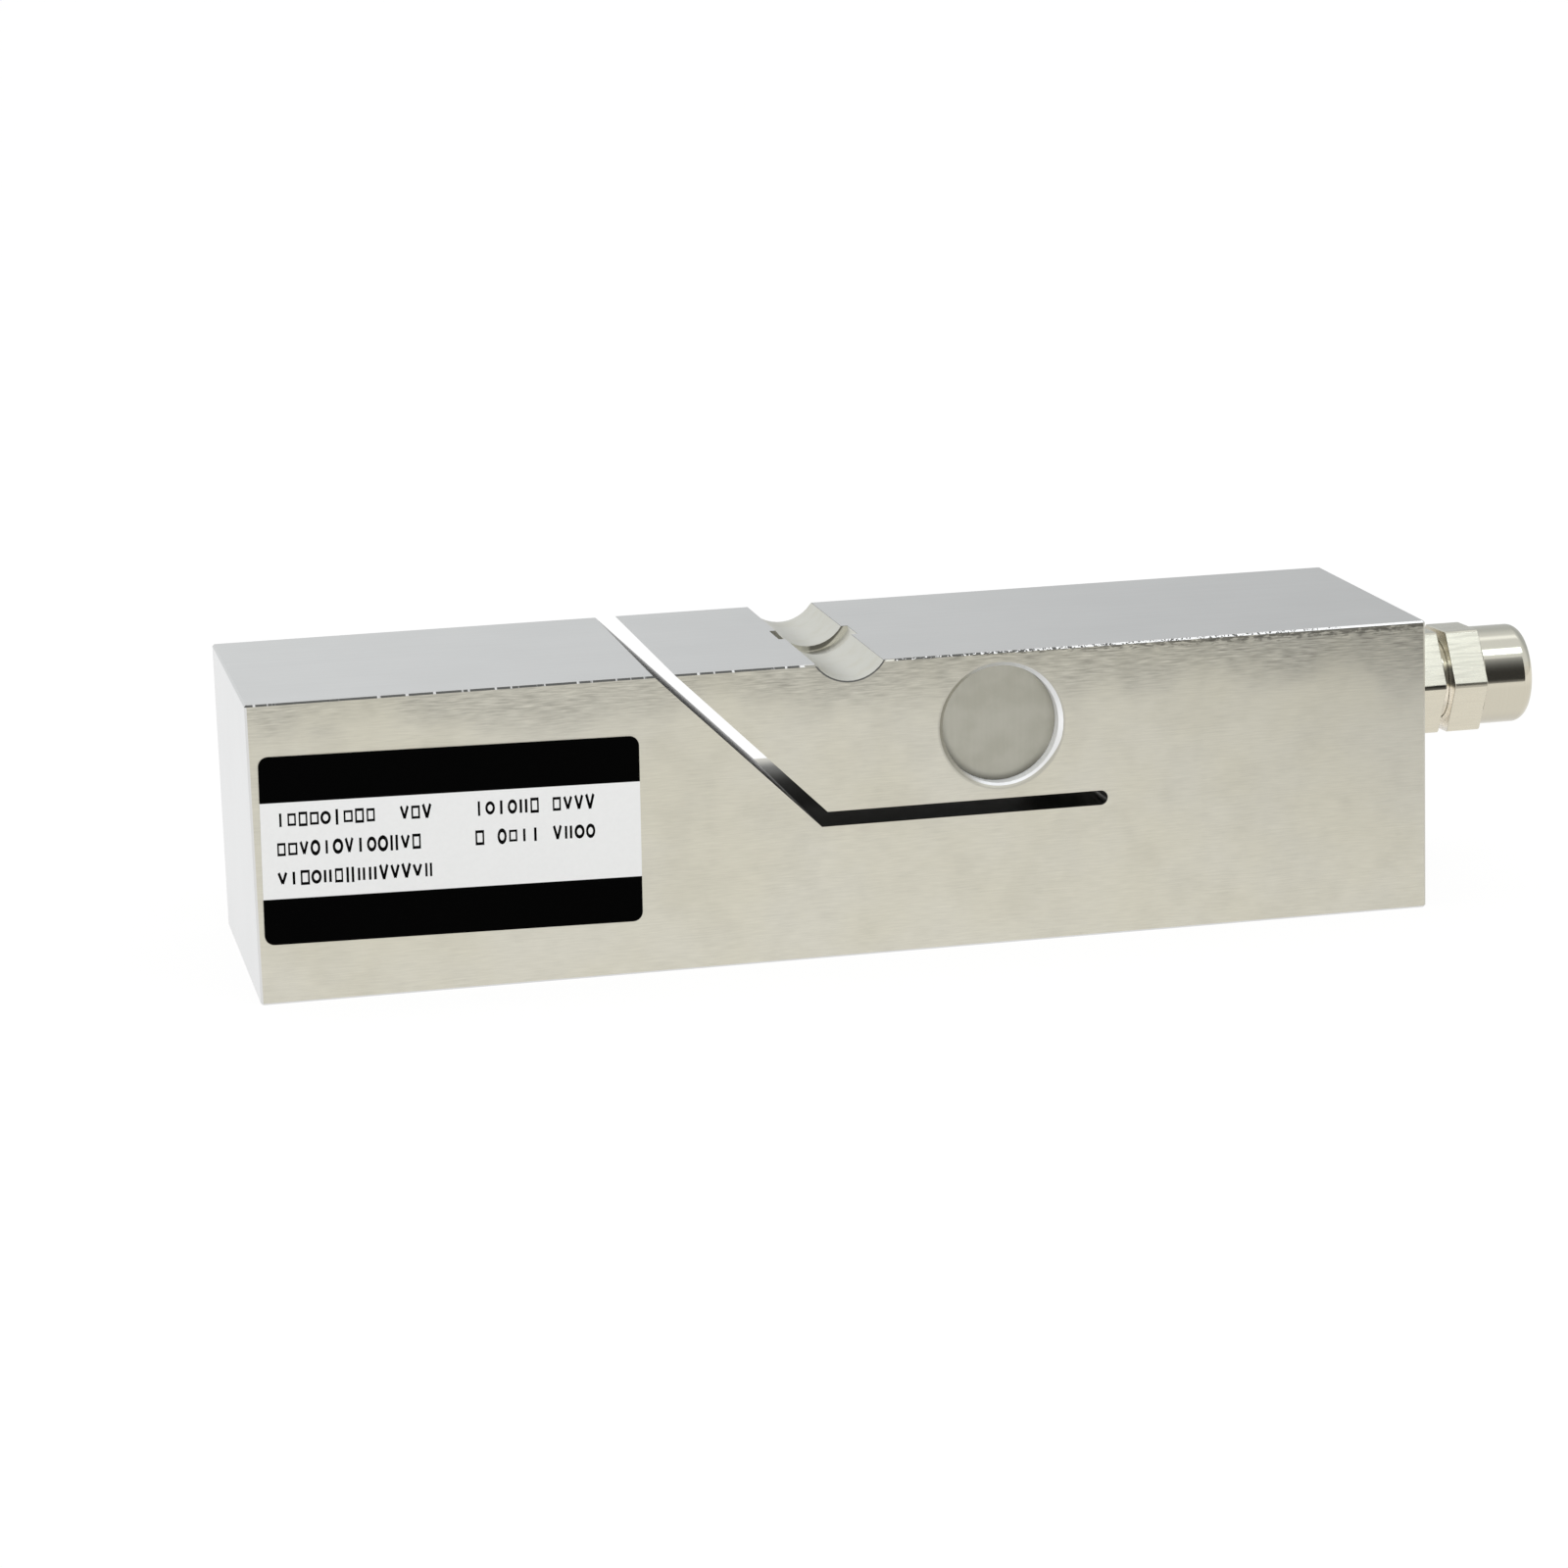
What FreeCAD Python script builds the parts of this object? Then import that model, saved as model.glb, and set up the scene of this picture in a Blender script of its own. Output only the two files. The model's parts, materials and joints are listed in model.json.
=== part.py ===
import FreeCAD, Part
import math
import os

import Sketcher

# Cantilever beam load cell: a rectangular steel beam whose slanted slit frees a tongue, with a
# gauge pocket on each side of the tongue, a load groove across its top and a cable gland at the end.
# Millimetres. Origin at the centre of the base face, +X along the beam to the gland, +Z up.
# The label is on the -Y face.

SIZES = {
    # Beam block
    "beam_length": 160,
    "beam_width": 45,
    "beam_height": 40,
    "end_edge_chamfer": 0.3,
    "edge_break": 0.25,
    # Slit that frees the tongue: a slanted run from the top, then a level run to a round end
    "tongue_thickness": 20,
    "slit_width": 2,
    "slit_angle": 45,
    "slit_corner_x": -4,
    "slit_end_x": 34,
    # Groove for the load pin, with a relief at mid-width so that the pin bears on two lands
    "groove_x": 0,
    "groove_radius": 5.5,
    "groove_depth": 2.5,
    "relief_width": 6.4,
    "relief_depth": 0.75,
    # Gauge pockets, one in each side of the tongue, with a web left between them
    "pocket_x": 20.5,
    "pocket_diameter": 16,
    "pocket_edge_break": 0.55,
    "cover_recess": 2.4,
    "cover_thickness": 1,
    "cover_clearance": 0.05,
    "cover_seat_width": 0.5,
    "web_thickness": 5,
    # Tapped holes in the base
    "base_hole_spacing": 120,
    "base_hole_diameter": 8.5,
    "base_hole_depth": 18,
    "base_hole_lead_in": 0.5,
    # Cable way and gland place
    "gland_setback": 12.4,
    "gland_drop": 0.65,
    "cable_bore_diameter": 6.5,
    "gland_hole_depth": 9,
    "thread_diameter": 12,
    "thread_clearance": 0.05,
    # Cable gland
    "stub_length": 7,
    "gasket_thickness": 0.8,
    "gasket_width": 0.9,
    "gland_hex": 14,
    "hex_corner_flat": 0.45,
    "hex_turn": 2.2,
    "body_hex_length": 3.9,
    "neck_diameter": 11,
    "neck_length": 6.5,
    "gland_bore_diameter": 6,
    "clamp_bore_diameter": 9.4,
    "clamp_bore_depth": 8,
    "nut_gap": 1.2,
    "nut_hex_length": 4.75,
    "nut_collar_diameter": 13.6,
    "nut_length": 12.1,
    "nut_end_radius": 1.8,
    "nut_mouth_diameter": 6.6,
    "nut_mouth_length": 1.6,
    "bush_bore_diameter": 5,
    "bush_diameter": 7.4,
    "bush_overhang": 1.5,
    "cage_flange_thickness": 0.8,
    "cage_finger_length": 2.2,
    "cage_slot_width": 0.6,
    "cage_slot_count": 6,
    # Gauge, terminal board, leads and resistors on each face of the web
    "gauge_side": 6,
    "gauge_film": 0.1,
    "gauge_foil": 0.05,
    "gauge_raise": 1,
    "grid_line_width": 0.3,
    "grid_line_pitch": 0.6,
    "grid_line_count": 5,
    "grid_reach": 2.2,
    "tab_side": 0.8,
    "tab_height": 0.7,
    "board_length": 7,
    "board_depth": 2.2,
    "board_thickness": 0.8,
    "board_drop": 5.2,
    "terminal_pitch": 1.3,
    "terminal_width": 0.9,
    "terminal_depth": 1.6,
    "lead_width": 0.4,
    "lead_thickness": 0.12,
    "lead_rise": 1.2,
    "link_hole_diameter": 1.4,
    "link_hole_drop": 3.05,
    "foil_resistor_length": 4,
    "foil_resistor_width": 1.6,
    "foil_resistor_thickness": 0.3,
    "foil_resistor_raise": 5.6,
    "bobbin_length": 4,
    "bobbin_flange_side": 1.8,
    "bobbin_flange_thickness": 0.4,
    "bobbin_core_diameter": 1.5,
    "bobbin_offset": 5.2,
    # Rating label
    "label_length": 50,
    "label_height": 25,
    "label_thickness": 0.15,
    "label_corner_radius": 1.3,
    "label_end_margin": 1.15,
    "label_raise": 0.15,
    "label_tilt": 0.95,
}

TERMINAL_COUNT = 5
GAUGE_LEAD_COUNT = 3
FULL_TURN = 360

doc = FreeCAD.newDocument("load_cell")
sheet = doc.addObject("Spreadsheet::Sheet", "dims")
for row, (alias, number) in enumerate(SIZES.items(), start=1):
    sheet.set(f"A{row}", alias)
    sheet.set(f"B{row}", str(number))
    sheet.setAlias(f"B{row}", alias)
doc.recompute()

# Places that several pieces share, as expressions of the sheet's cells
BEAM_END = "dims.beam_length / 2"
LABEL_FACE = "dims.beam_width / 2"
SLIT_TOP = "(dims.beam_height - dims.tongue_thickness)"
SLIT_BOTTOM = f"({SLIT_TOP} - dims.slit_width)"
SLIT_CENTRE = f"({SLIT_TOP} - dims.slit_width / 2)"
POCKET_HEIGHT = "(dims.beam_height - dims.tongue_thickness / 2)"
COVER_SEAT_DEPTH = "(dims.cover_recess + dims.cover_thickness)"
CAVITY_DIAMETER = "(dims.pocket_diameter - 2 * dims.cover_seat_width)"
WEB_FACE = "dims.web_thickness / 2"
GLAND_Y = f"(dims.gland_setback - {LABEL_FACE})"
GLAND_HEIGHT = f"({POCKET_HEIGHT} - dims.gland_drop)"
HEX_END = "(dims.gasket_thickness + dims.body_hex_length)"
NECK_END = f"({HEX_END} + dims.neck_length)"
CLAMP_SEAT = f"({NECK_END} - dims.clamp_bore_depth)"
NUT_START = f"({HEX_END} + dims.nut_gap)"
NUT_END = f"({NUT_START} + dims.nut_length)"
NUT_BORE_RADIUS = "(dims.neck_diameter / 2 + dims.thread_clearance)"
FLANGE_END = f"({NECK_END} + dims.cage_flange_thickness)"
CONE_END = f"({NUT_END} - dims.nut_mouth_length)"
CONE_SLOPE = f"(({NUT_BORE_RADIUS} - dims.nut_mouth_diameter / 2) / ({CONE_END} - {FLANGE_END}))"
FOIL_TOP = "(dims.gauge_film + dims.gauge_foil)"
TERMINAL_TOP = "(dims.board_thickness + dims.gauge_foil)"
TAB_Y = "(dims.gauge_raise - dims.gauge_side / 2 + dims.tab_height)"
TERMINAL_Y = "(-dims.board_drop)"

bodies = []


def value(expression):
    """Number that an expression of the sheet's cells gives."""
    return float(sheet.evalExpression(expression))


def new_body(label, x="0", y="0", z="0", rotation=FreeCAD.Rotation()):
    """Empty body for one sub-part, with its place bound to the sheet."""
    body = doc.addObject("PartDesign::Body", label)
    body.Label = label
    body.Placement = FreeCAD.Placement(FreeCAD.Vector(), rotation)
    for axis, expression in zip("xyz", (x, y, z)):
        body.setExpression(f"Placement.Base.{axis}", expression)
    bodies.append(body)
    return body


def new_sketch(body, name, role, offset="0"):
    """Sketch on one of the body's own origin planes, moved along the plane's normal."""
    plane = next(item for item in body.Origin.OriginFeatures if item.Role == role)
    sketch = body.newObject("Sketcher::SketchObject", f"{body.Name}_{name}")
    sketch.AttachmentSupport = [(plane, "")]
    sketch.MapMode = "FlatFace"
    sketch.setExpression("AttachmentOffset.Base.z", offset)
    return sketch


def bind(sketch, kind, *arguments):
    """Constraint whose size, the last argument, is an expression."""
    *references, expression = arguments
    index = sketch.addConstraint(Sketcher.Constraint(kind, *references, value(expression)))
    sketch.setExpression(f"Constraints[{index}]", expression)


def pin(sketch, geometry, position, at):
    """Hold one point of a sketch at a pair of expressions."""
    bind(sketch, "DistanceX", -1, 1, geometry, position, at[0])
    bind(sketch, "DistanceY", -1, 1, geometry, position, at[1])


def trace(sketch, corners, arcs=None, closed=True):
    """Outline or path through corners; arcs gives the centre of each side that turns left round one."""
    arcs = arcs or {}
    points = [FreeCAD.Vector(value(x), value(y), 0) for x, y in corners]
    count = len(points) if closed else len(points) - 1
    for side in range(count):
        start = points[side]
        end = points[(side + 1) % len(points)]
        if side in arcs:
            centre = FreeCAD.Vector(value(arcs[side][0]), value(arcs[side][1]), 0)
            circle = Part.Circle(centre, FreeCAD.Vector(0, 0, 1), (start - centre).Length)
            first = math.atan2(start.y - centre.y, start.x - centre.x)
            last = math.atan2(end.y - centre.y, end.x - centre.x)
            if last <= first:
                last += math.tau
            sketch.addGeometry(Part.ArcOfCircle(circle, first, last), False)
        else:
            sketch.addGeometry(Part.LineSegment(start, end), False)
    for side in range(count):
        if closed or side < count - 1:
            sketch.addConstraint(Sketcher.Constraint("Coincident", side, 2, (side + 1) % count, 1))
        pin(sketch, side, 1, corners[side])
        if side in arcs:
            chord = points[(side + 1) % len(points)] - points[side]
            axis = 0 if abs(chord.x) < abs(chord.y) else 1
            bind(sketch, ("DistanceX", "DistanceY")[axis], -1, 1, side, 3, arcs[side][axis])
    if not closed:
        pin(sketch, count - 1, 2, corners[-1])


def circle(sketch, diameter, x="0", y="0"):
    """Circle with its centre and diameter bound."""
    centre = FreeCAD.Vector(value(x), value(y), 0)
    shape = Part.Circle(centre, FreeCAD.Vector(0, 0, 1), value(diameter) / 2)
    index = sketch.addGeometry(shape, False)
    pin(sketch, index, 3, (x, y))
    bind(sketch, "Diameter", index, diameter)


def rectangle(sketch, low, high):
    """Upright rectangle between two corners."""
    trace(sketch, [low, (high[0], low[1]), high, (low[0], high[1])])


def hexagon(sketch, across_flats):
    """Hexagon about the sketch's origin, turned a little, with a narrow flat on each corner."""
    reach = f"({across_flats} / sqrt(3) - dims.hex_corner_flat / 2 / tan(60))"
    half = "(dims.hex_corner_flat / 2)"
    points = []
    for k in range(6):
        angle = f"({60 * k} - dims.hex_turn)"
        for side in (-1, 1):
            along = f"{reach} * cos({angle}) - {side} * {half} * sin({angle})"
            up = f"{reach} * sin({angle}) + {side} * {half} * cos({angle})"
            points.append((along, up))
    trace(sketch, points)


def extrude(kind, sketch, length=None, both_sides=False, flip=False):
    """Pad or Pocket of a sketch; without a length a Pocket goes right through."""
    body = sketch.getParentGeoFeatureGroup()
    feature = body.newObject(f"PartDesign::{kind}", f"{sketch.Name}_{kind.lower()}")
    feature.Profile = sketch
    if length is None:
        feature.Type = "ThroughAll"
    else:
        feature.setExpression("Length", length)
    feature.Midplane = both_sides
    feature.Reversed = flip
    sketch.Visibility = False
    return feature


def turn(kind, sketch):
    """Revolution or Groove of a sketch round its first axis."""
    body = sketch.getParentGeoFeatureGroup()
    feature = body.newObject(f"PartDesign::{kind}", f"{sketch.Name}_{kind.lower()}")
    feature.Profile = sketch
    feature.ReferenceAxis = (sketch, ["H_Axis"])
    feature.Angle = FULL_TURN
    return feature


def dress(kind, base, test, size):
    """Chamfer or Fillet on the base feature's edges that pass a test."""
    doc.recompute()
    names = [f"Edge{k}" for k, edge in enumerate(base.Shape.Edges, start=1) if test(edge)]
    body = base.getParentGeoFeatureGroup()
    feature = body.newObject(f"PartDesign::{kind}", f"{base.Name}_{kind.lower()}")
    feature.Base = (base, names)
    feature.setExpression("Size" if kind == "Chamfer" else "Radius", size)
    return feature


def row_of(feature, sketch, axis, length, count):
    """Copies of a feature in a straight row along one of its sketch's axes."""
    body = sketch.getParentGeoFeatureGroup()
    pattern = body.newObject("PartDesign::LinearPattern", f"{sketch.Name}_row")
    pattern.Originals = [feature]
    pattern.Direction = (sketch, [axis])
    pattern.setExpression("Length", length)
    pattern.setExpression("Occurrences", str(count))
    body.Tip = pattern
    return pattern


def is_straight(edge, direction):
    """Whether an edge is a straight line along a direction."""
    if edge.Curve.TypeId != "Part::GeomLine":
        return False
    return abs(edge.Curve.Direction.dot(direction)) > 0.999


def make_beam():
    """Steel beam: block, slit, load groove, gauge pockets, cable way and base holes."""
    body = new_body("beam_body")
    upright = FreeCAD.Vector(0, 0, 1)

    block = new_sketch(body, "block", "XZ_Plane")
    rectangle(block, (f"-{BEAM_END}", "0"), (BEAM_END, "dims.beam_height"))
    solid = extrude("Pad", block, "dims.beam_width", both_sides=True)
    ends = dress("Chamfer", solid, lambda edge: is_straight(edge, upright), "dims.end_edge_chamfer")
    dress("Chamfer", ends, lambda edge: not is_straight(edge, upright), "dims.edge_break")

    # The slanted walls lean by the slit's angle and stay parallel at the slit's width
    slit = new_sketch(body, "slit", "XZ_Plane")
    half_turn = "dims.slit_width / 2 * tan(dims.slit_angle / 2)"
    outer_x = f"(dims.slit_corner_x - {half_turn})"
    inner_x = f"(dims.slit_corner_x + {half_turn})"
    overcut = "(dims.beam_height + dims.slit_width)"
    trace(
        slit,
        [
            (outer_x, SLIT_BOTTOM),
            ("dims.slit_end_x", SLIT_BOTTOM),
            ("dims.slit_end_x", SLIT_TOP),
            (inner_x, SLIT_TOP),
            (f"{inner_x} - ({overcut} - {SLIT_TOP}) / tan(dims.slit_angle)", overcut),
            (f"{outer_x} - ({overcut} - {SLIT_BOTTOM}) / tan(dims.slit_angle)", overcut),
        ],
        arcs={1: ("dims.slit_end_x", SLIT_CENTRE)},
    )
    extrude("Pocket", slit, both_sides=True)

    # Groove and relief share one axis above the top face
    groove_axis = "(dims.beam_height + dims.groove_radius - dims.groove_depth)"
    groove = new_sketch(body, "groove", "XZ_Plane")
    circle(groove, "2 * dims.groove_radius", "dims.groove_x", groove_axis)
    extrude("Pocket", groove, both_sides=True)
    relief = new_sketch(body, "relief", "XZ_Plane")
    circle(relief, "2 * (dims.groove_radius + dims.relief_depth)", "dims.groove_x", groove_axis)
    extrude("Pocket", relief, "dims.relief_width", both_sides=True)

    pocket = turn_pocket(body)
    mirror = body.newObject("PartDesign::Mirrored", "gauge_pockets")
    mirror.Originals = [pocket]
    mirror.MirrorPlane = (next(p for p in body.Origin.OriginFeatures if p.Role == "XZ_Plane"), [""])
    body.Tip = mirror

    link_holes = new_sketch(body, "link_holes", "XZ_Plane")
    for side in ("-", "+"):
        x = f"dims.pocket_x {side} {(TERMINAL_COUNT - 1) // 2} * dims.terminal_pitch"
        circle(link_holes, "dims.link_hole_diameter", x, f"{POCKET_HEIGHT} - dims.link_hole_drop")
    extrude("Pocket", link_holes, "2 * dims.web_thickness", both_sides=True)

    cable_way = new_sketch(body, "cable_way", "YZ_Plane", BEAM_END)
    circle(cable_way, "dims.cable_bore_diameter", GLAND_Y, GLAND_HEIGHT)
    extrude("Pocket", cable_way, f"{BEAM_END} - dims.pocket_x")
    gland_hole = new_sketch(body, "gland_hole", "YZ_Plane", BEAM_END)
    circle(gland_hole, "dims.thread_diameter", GLAND_Y, GLAND_HEIGHT)
    extrude("Pocket", gland_hole, "dims.gland_hole_depth")

    base_holes = new_sketch(body, "base_holes", "XY_Plane")
    for side in ("-", ""):
        circle(base_holes, "dims.base_hole_diameter", f"{side}dims.base_hole_spacing / 2")
    drilled = extrude("Pocket", base_holes, "dims.base_hole_depth", flip=True)

    def is_base_rim(edge):
        round_edge = edge.Curve.TypeId == "Part::GeomCircle"
        return round_edge and edge.BoundBox.ZMax < value("dims.base_hole_depth") / 2

    dress("Chamfer", drilled, is_base_rim, "dims.base_hole_lead_in")


def turn_pocket(body):
    """Groove feature of the stepped gauge pocket in the label side, turned about the pocket's axis."""
    profile = new_sketch(body, "pocket", "XY_Plane", POCKET_HEIGHT)
    face = f"-{LABEL_FACE}"
    mouth = "dims.pocket_diameter / 2 + dims.pocket_edge_break"
    seat = f"{COVER_SEAT_DEPTH} - {LABEL_FACE}"
    trace(
        profile,
        [
            ("dims.pocket_x", f"-{WEB_FACE}"),
            ("dims.pocket_x", face),
            (f"dims.pocket_x + {mouth}", face),
            ("dims.pocket_x + dims.pocket_diameter / 2", f"dims.pocket_edge_break - {LABEL_FACE}"),
            ("dims.pocket_x + dims.pocket_diameter / 2", seat),
            (f"dims.pocket_x + {CAVITY_DIAMETER} / 2", seat),
            (f"dims.pocket_x + {CAVITY_DIAMETER} / 2", f"-{WEB_FACE}"),
        ],
    )
    pocket = body.newObject("PartDesign::Groove", "gauge_pocket")
    pocket.Profile = profile
    pocket.ReferenceAxis = (profile, ["Edge1"])
    pocket.Angle = FULL_TURN
    return pocket


# Turns a piece modelled on a level face to stand on the web's label side or its rear side
LABEL_SIDE = FreeCAD.Rotation(FreeCAD.Vector(1, 0, 0), 90)
REAR_SIDE = FreeCAD.Rotation(FreeCAD.Vector(0, 0, 1), 180) * LABEL_SIDE


def side_body(label, rotation, depth):
    """Body on the pocket's axis at a depth from mid-width, with its own +Z out of the pocket."""
    sign = "-" if rotation is LABEL_SIDE else ""
    return new_body(label, "dims.pocket_x", f"{sign}{depth}", POCKET_HEIGHT, rotation)


def make_cover(label, rotation):
    """Round cover on the pocket's shoulder."""
    body = side_body(label, rotation, f"({LABEL_FACE} - {COVER_SEAT_DEPTH})")
    disc = new_sketch(body, "disc", "XY_Plane")
    circle(disc, "dims.pocket_diameter - 2 * dims.cover_clearance")
    extrude("Pad", disc, "dims.cover_thickness")


def make_gauge(label, rotation):
    """Shear strain gauge: backing film with chevron grid lines and a row of solder tabs."""
    body = side_body(label, rotation, WEB_FACE)
    film = new_sketch(body, "film", "XY_Plane")
    half = "dims.gauge_side / 2"
    rectangle(film, (f"-{half}", f"dims.gauge_raise - {half}"), (half, f"dims.gauge_raise + {half}"))
    extrude("Pad", film, "dims.gauge_film")

    grid = new_sketch(body, "grid", "XY_Plane", "dims.gauge_film")
    low = f"({TAB_Y} + dims.tab_side)"
    trace(
        grid,
        [
            ("0", low),
            ("dims.grid_reach", f"{low} + dims.grid_reach / 2"),
            ("dims.grid_reach", f"{low} + dims.grid_reach / 2 + dims.grid_line_width"),
            ("0", f"{low} + dims.grid_line_width"),
            ("-dims.grid_reach", f"{low} + dims.grid_reach / 2 + dims.grid_line_width"),
            ("-dims.grid_reach", f"{low} + dims.grid_reach / 2"),
        ],
    )
    line = extrude("Pad", grid, "dims.gauge_foil")
    span = "dims.grid_line_pitch * (dims.grid_line_count - 1)"
    row_of(line, grid, "V_Axis", span, "dims.grid_line_count")

    tabs = new_sketch(body, "tabs", "XY_Plane", "dims.gauge_film")
    edge = "dims.tab_side / 2"
    first = f"-{(GAUGE_LEAD_COUNT - 1) // 2} * dims.terminal_pitch"
    rectangle(tabs, (f"{first} - {edge}", f"{TAB_Y} - {edge}"), (f"{first} + {edge}", f"{TAB_Y} + {edge}"))
    tab = extrude("Pad", tabs, "dims.gauge_foil")
    row_of(tab, tabs, "H_Axis", f"{GAUGE_LEAD_COUNT - 1} * dims.terminal_pitch", GAUGE_LEAD_COUNT)


def make_terminal_board(label, rotation):
    """Bonded terminal strip with a row of solder pads."""
    body = side_body(label, rotation, WEB_FACE)
    plate = new_sketch(body, "plate", "XY_Plane")
    half = "dims.board_length / 2"
    edge = "dims.board_depth / 2"
    rectangle(plate, (f"-{half}", f"{TERMINAL_Y} - {edge}"), (half, f"{TERMINAL_Y} + {edge}"))
    extrude("Pad", plate, "dims.board_thickness")

    terminal = new_sketch(body, "terminal", "XY_Plane", "dims.board_thickness")
    first = f"-{(TERMINAL_COUNT - 1) // 2} * dims.terminal_pitch"
    wide = "dims.terminal_width / 2"
    deep = "dims.terminal_depth / 2"
    low = (f"{first} - {wide}", f"{TERMINAL_Y} - {deep}")
    high = (f"{first} + {wide}", f"{TERMINAL_Y} + {deep}")
    rectangle(terminal, low, high)
    solder = extrude("Pad", terminal, "dims.gauge_foil")
    row_of(solder, terminal, "H_Axis", f"{TERMINAL_COUNT - 1} * dims.terminal_pitch", TERMINAL_COUNT)


def sweep_leads(body, path, start, first, span, count):
    """Row of ribbon leads along one path that starts upright at a point of the level plane."""
    section = new_sketch(body, "section", "XY_Plane", start[1])
    half = "dims.lead_width / 2"
    edge = "dims.lead_thickness / 2"
    low = (f"{first} - {half}", f"{start[0]} - {edge}")
    high = (f"{first} + {half}", f"{start[0]} + {edge}")
    rectangle(section, low, high)
    lead = body.newObject("PartDesign::AdditivePipe", f"{body.Name}_lead")
    lead.Profile = section
    lead.Spine = (path, [])
    lead.Transition = "Right corner"
    row_of(lead, section, "H_Axis", span, count)


def make_gauge_leads(label, rotation):
    """Bent ribbon leads from the gauge's tabs to the middle pads of the terminal board."""
    body = side_body(label, rotation, WEB_FACE)
    first = f"-{(GAUGE_LEAD_COUNT - 1) // 2} * dims.terminal_pitch"
    path = new_sketch(body, "path", "YZ_Plane", first)
    trace(
        path,
        [
            (TAB_Y, FOIL_TOP),
            (TAB_Y, "dims.lead_rise"),
            (TERMINAL_Y, "dims.lead_rise"),
            (TERMINAL_Y, TERMINAL_TOP),
        ],
        closed=False,
    )
    span = f"{GAUGE_LEAD_COUNT - 1} * dims.terminal_pitch"
    sweep_leads(body, path, (TAB_Y, FOIL_TOP), first, span, GAUGE_LEAD_COUNT)


def make_link_leads():
    """Ribbon leads through the web that join the outer pads of the two terminal boards."""
    body = side_body("bridge_link_leads", LABEL_SIDE, WEB_FACE)
    first = f"-{(TERMINAL_COUNT - 1) // 2} * dims.terminal_pitch"
    hole = "(-dims.link_hole_drop)"
    rear_rise = "(-dims.web_thickness - dims.lead_rise)"
    rear_top = f"(-dims.web_thickness - {TERMINAL_TOP})"
    path = new_sketch(body, "path", "YZ_Plane", first)
    trace(
        path,
        [
            (TERMINAL_Y, rear_top),
            (TERMINAL_Y, rear_rise),
            (hole, rear_rise),
            (hole, "dims.lead_rise"),
            (TERMINAL_Y, "dims.lead_rise"),
            (TERMINAL_Y, TERMINAL_TOP),
        ],
        closed=False,
    )
    span = f"{TERMINAL_COUNT - 1} * dims.terminal_pitch"
    sweep_leads(body, path, (TERMINAL_Y, rear_top), first, span, 2)


def make_foil_resistor(label, rotation):
    """Flat temperature compensation resistor bonded above the gauge."""
    body = side_body(label, rotation, WEB_FACE)
    chip = new_sketch(body, "chip", "XY_Plane")
    half = "dims.foil_resistor_length / 2"
    edge = "dims.foil_resistor_width / 2"
    middle = "dims.foil_resistor_raise"
    rectangle(chip, (f"-{half}", f"{middle} - {edge}"), (half, f"{middle} + {edge}"))
    extrude("Pad", chip, "dims.foil_resistor_thickness")


def make_bobbin_resistor(label, rotation):
    """Wire-wound trim resistor: round winding between two square flanges that stand on the web."""
    body = side_body(label, rotation, WEB_FACE)
    end = "(dims.gauge_raise - dims.bobbin_length / 2)"
    side = "dims.bobbin_flange_side / 2"
    winding = new_sketch(body, "winding", "XZ_Plane", f"-{end}")
    circle(winding, "dims.bobbin_core_diameter", "dims.bobbin_offset", side)
    extrude("Pad", winding, "dims.bobbin_length", flip=True)
    far_end = f"({end} + dims.bobbin_length - dims.bobbin_flange_thickness)"
    for name, start in (("near_flange", end), ("far_flange", far_end)):
        flange = new_sketch(body, name, "XZ_Plane", f"-{start}")
        low = (f"dims.bobbin_offset - {side}", "0")
        rectangle(flange, low, (f"dims.bobbin_offset + {side}", "dims.bobbin_flange_side"))
        extrude("Pad", flange, "dims.bobbin_flange_thickness", flip=True)


def gland_piece(label):
    """Body on the gland's axis, with its own origin on the beam's end face and +X outwards."""
    return new_body(label, BEAM_END, GLAND_Y, GLAND_HEIGHT)


def make_gland_gasket():
    """Flat ring under the gland's hexagon."""
    body = gland_piece("gland_gasket")
    ring = new_sketch(body, "ring", "YZ_Plane")
    circle(ring, "dims.thread_diameter")
    circle(ring, "dims.thread_diameter + 2 * dims.gasket_width")
    extrude("Pad", ring, "dims.gasket_thickness")


def make_gland_body():
    """Gland body: threaded stub, hexagon and neck, with a stepped bore."""
    body = gland_piece("gland_body")
    stub_radius = "(dims.thread_diameter / 2 - dims.thread_clearance)"
    barrel = new_sketch(body, "barrel", "XZ_Plane")
    trace(
        barrel,
        [
            ("-dims.stub_length", "dims.gland_bore_diameter / 2"),
            (CLAMP_SEAT, "dims.gland_bore_diameter / 2"),
            (CLAMP_SEAT, "dims.clamp_bore_diameter / 2"),
            (NECK_END, "dims.clamp_bore_diameter / 2"),
            (NECK_END, "dims.neck_diameter / 2"),
            (HEX_END, "dims.neck_diameter / 2"),
            (HEX_END, stub_radius),
            ("-dims.stub_length", stub_radius),
        ],
    )
    turn("Revolution", barrel)
    flats = new_sketch(body, "flats", "YZ_Plane", "dims.gasket_thickness")
    hexagon(flats, "dims.gland_hex")
    circle(flats, "dims.neck_diameter")
    extrude("Pad", flats, "dims.body_hex_length")


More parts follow.
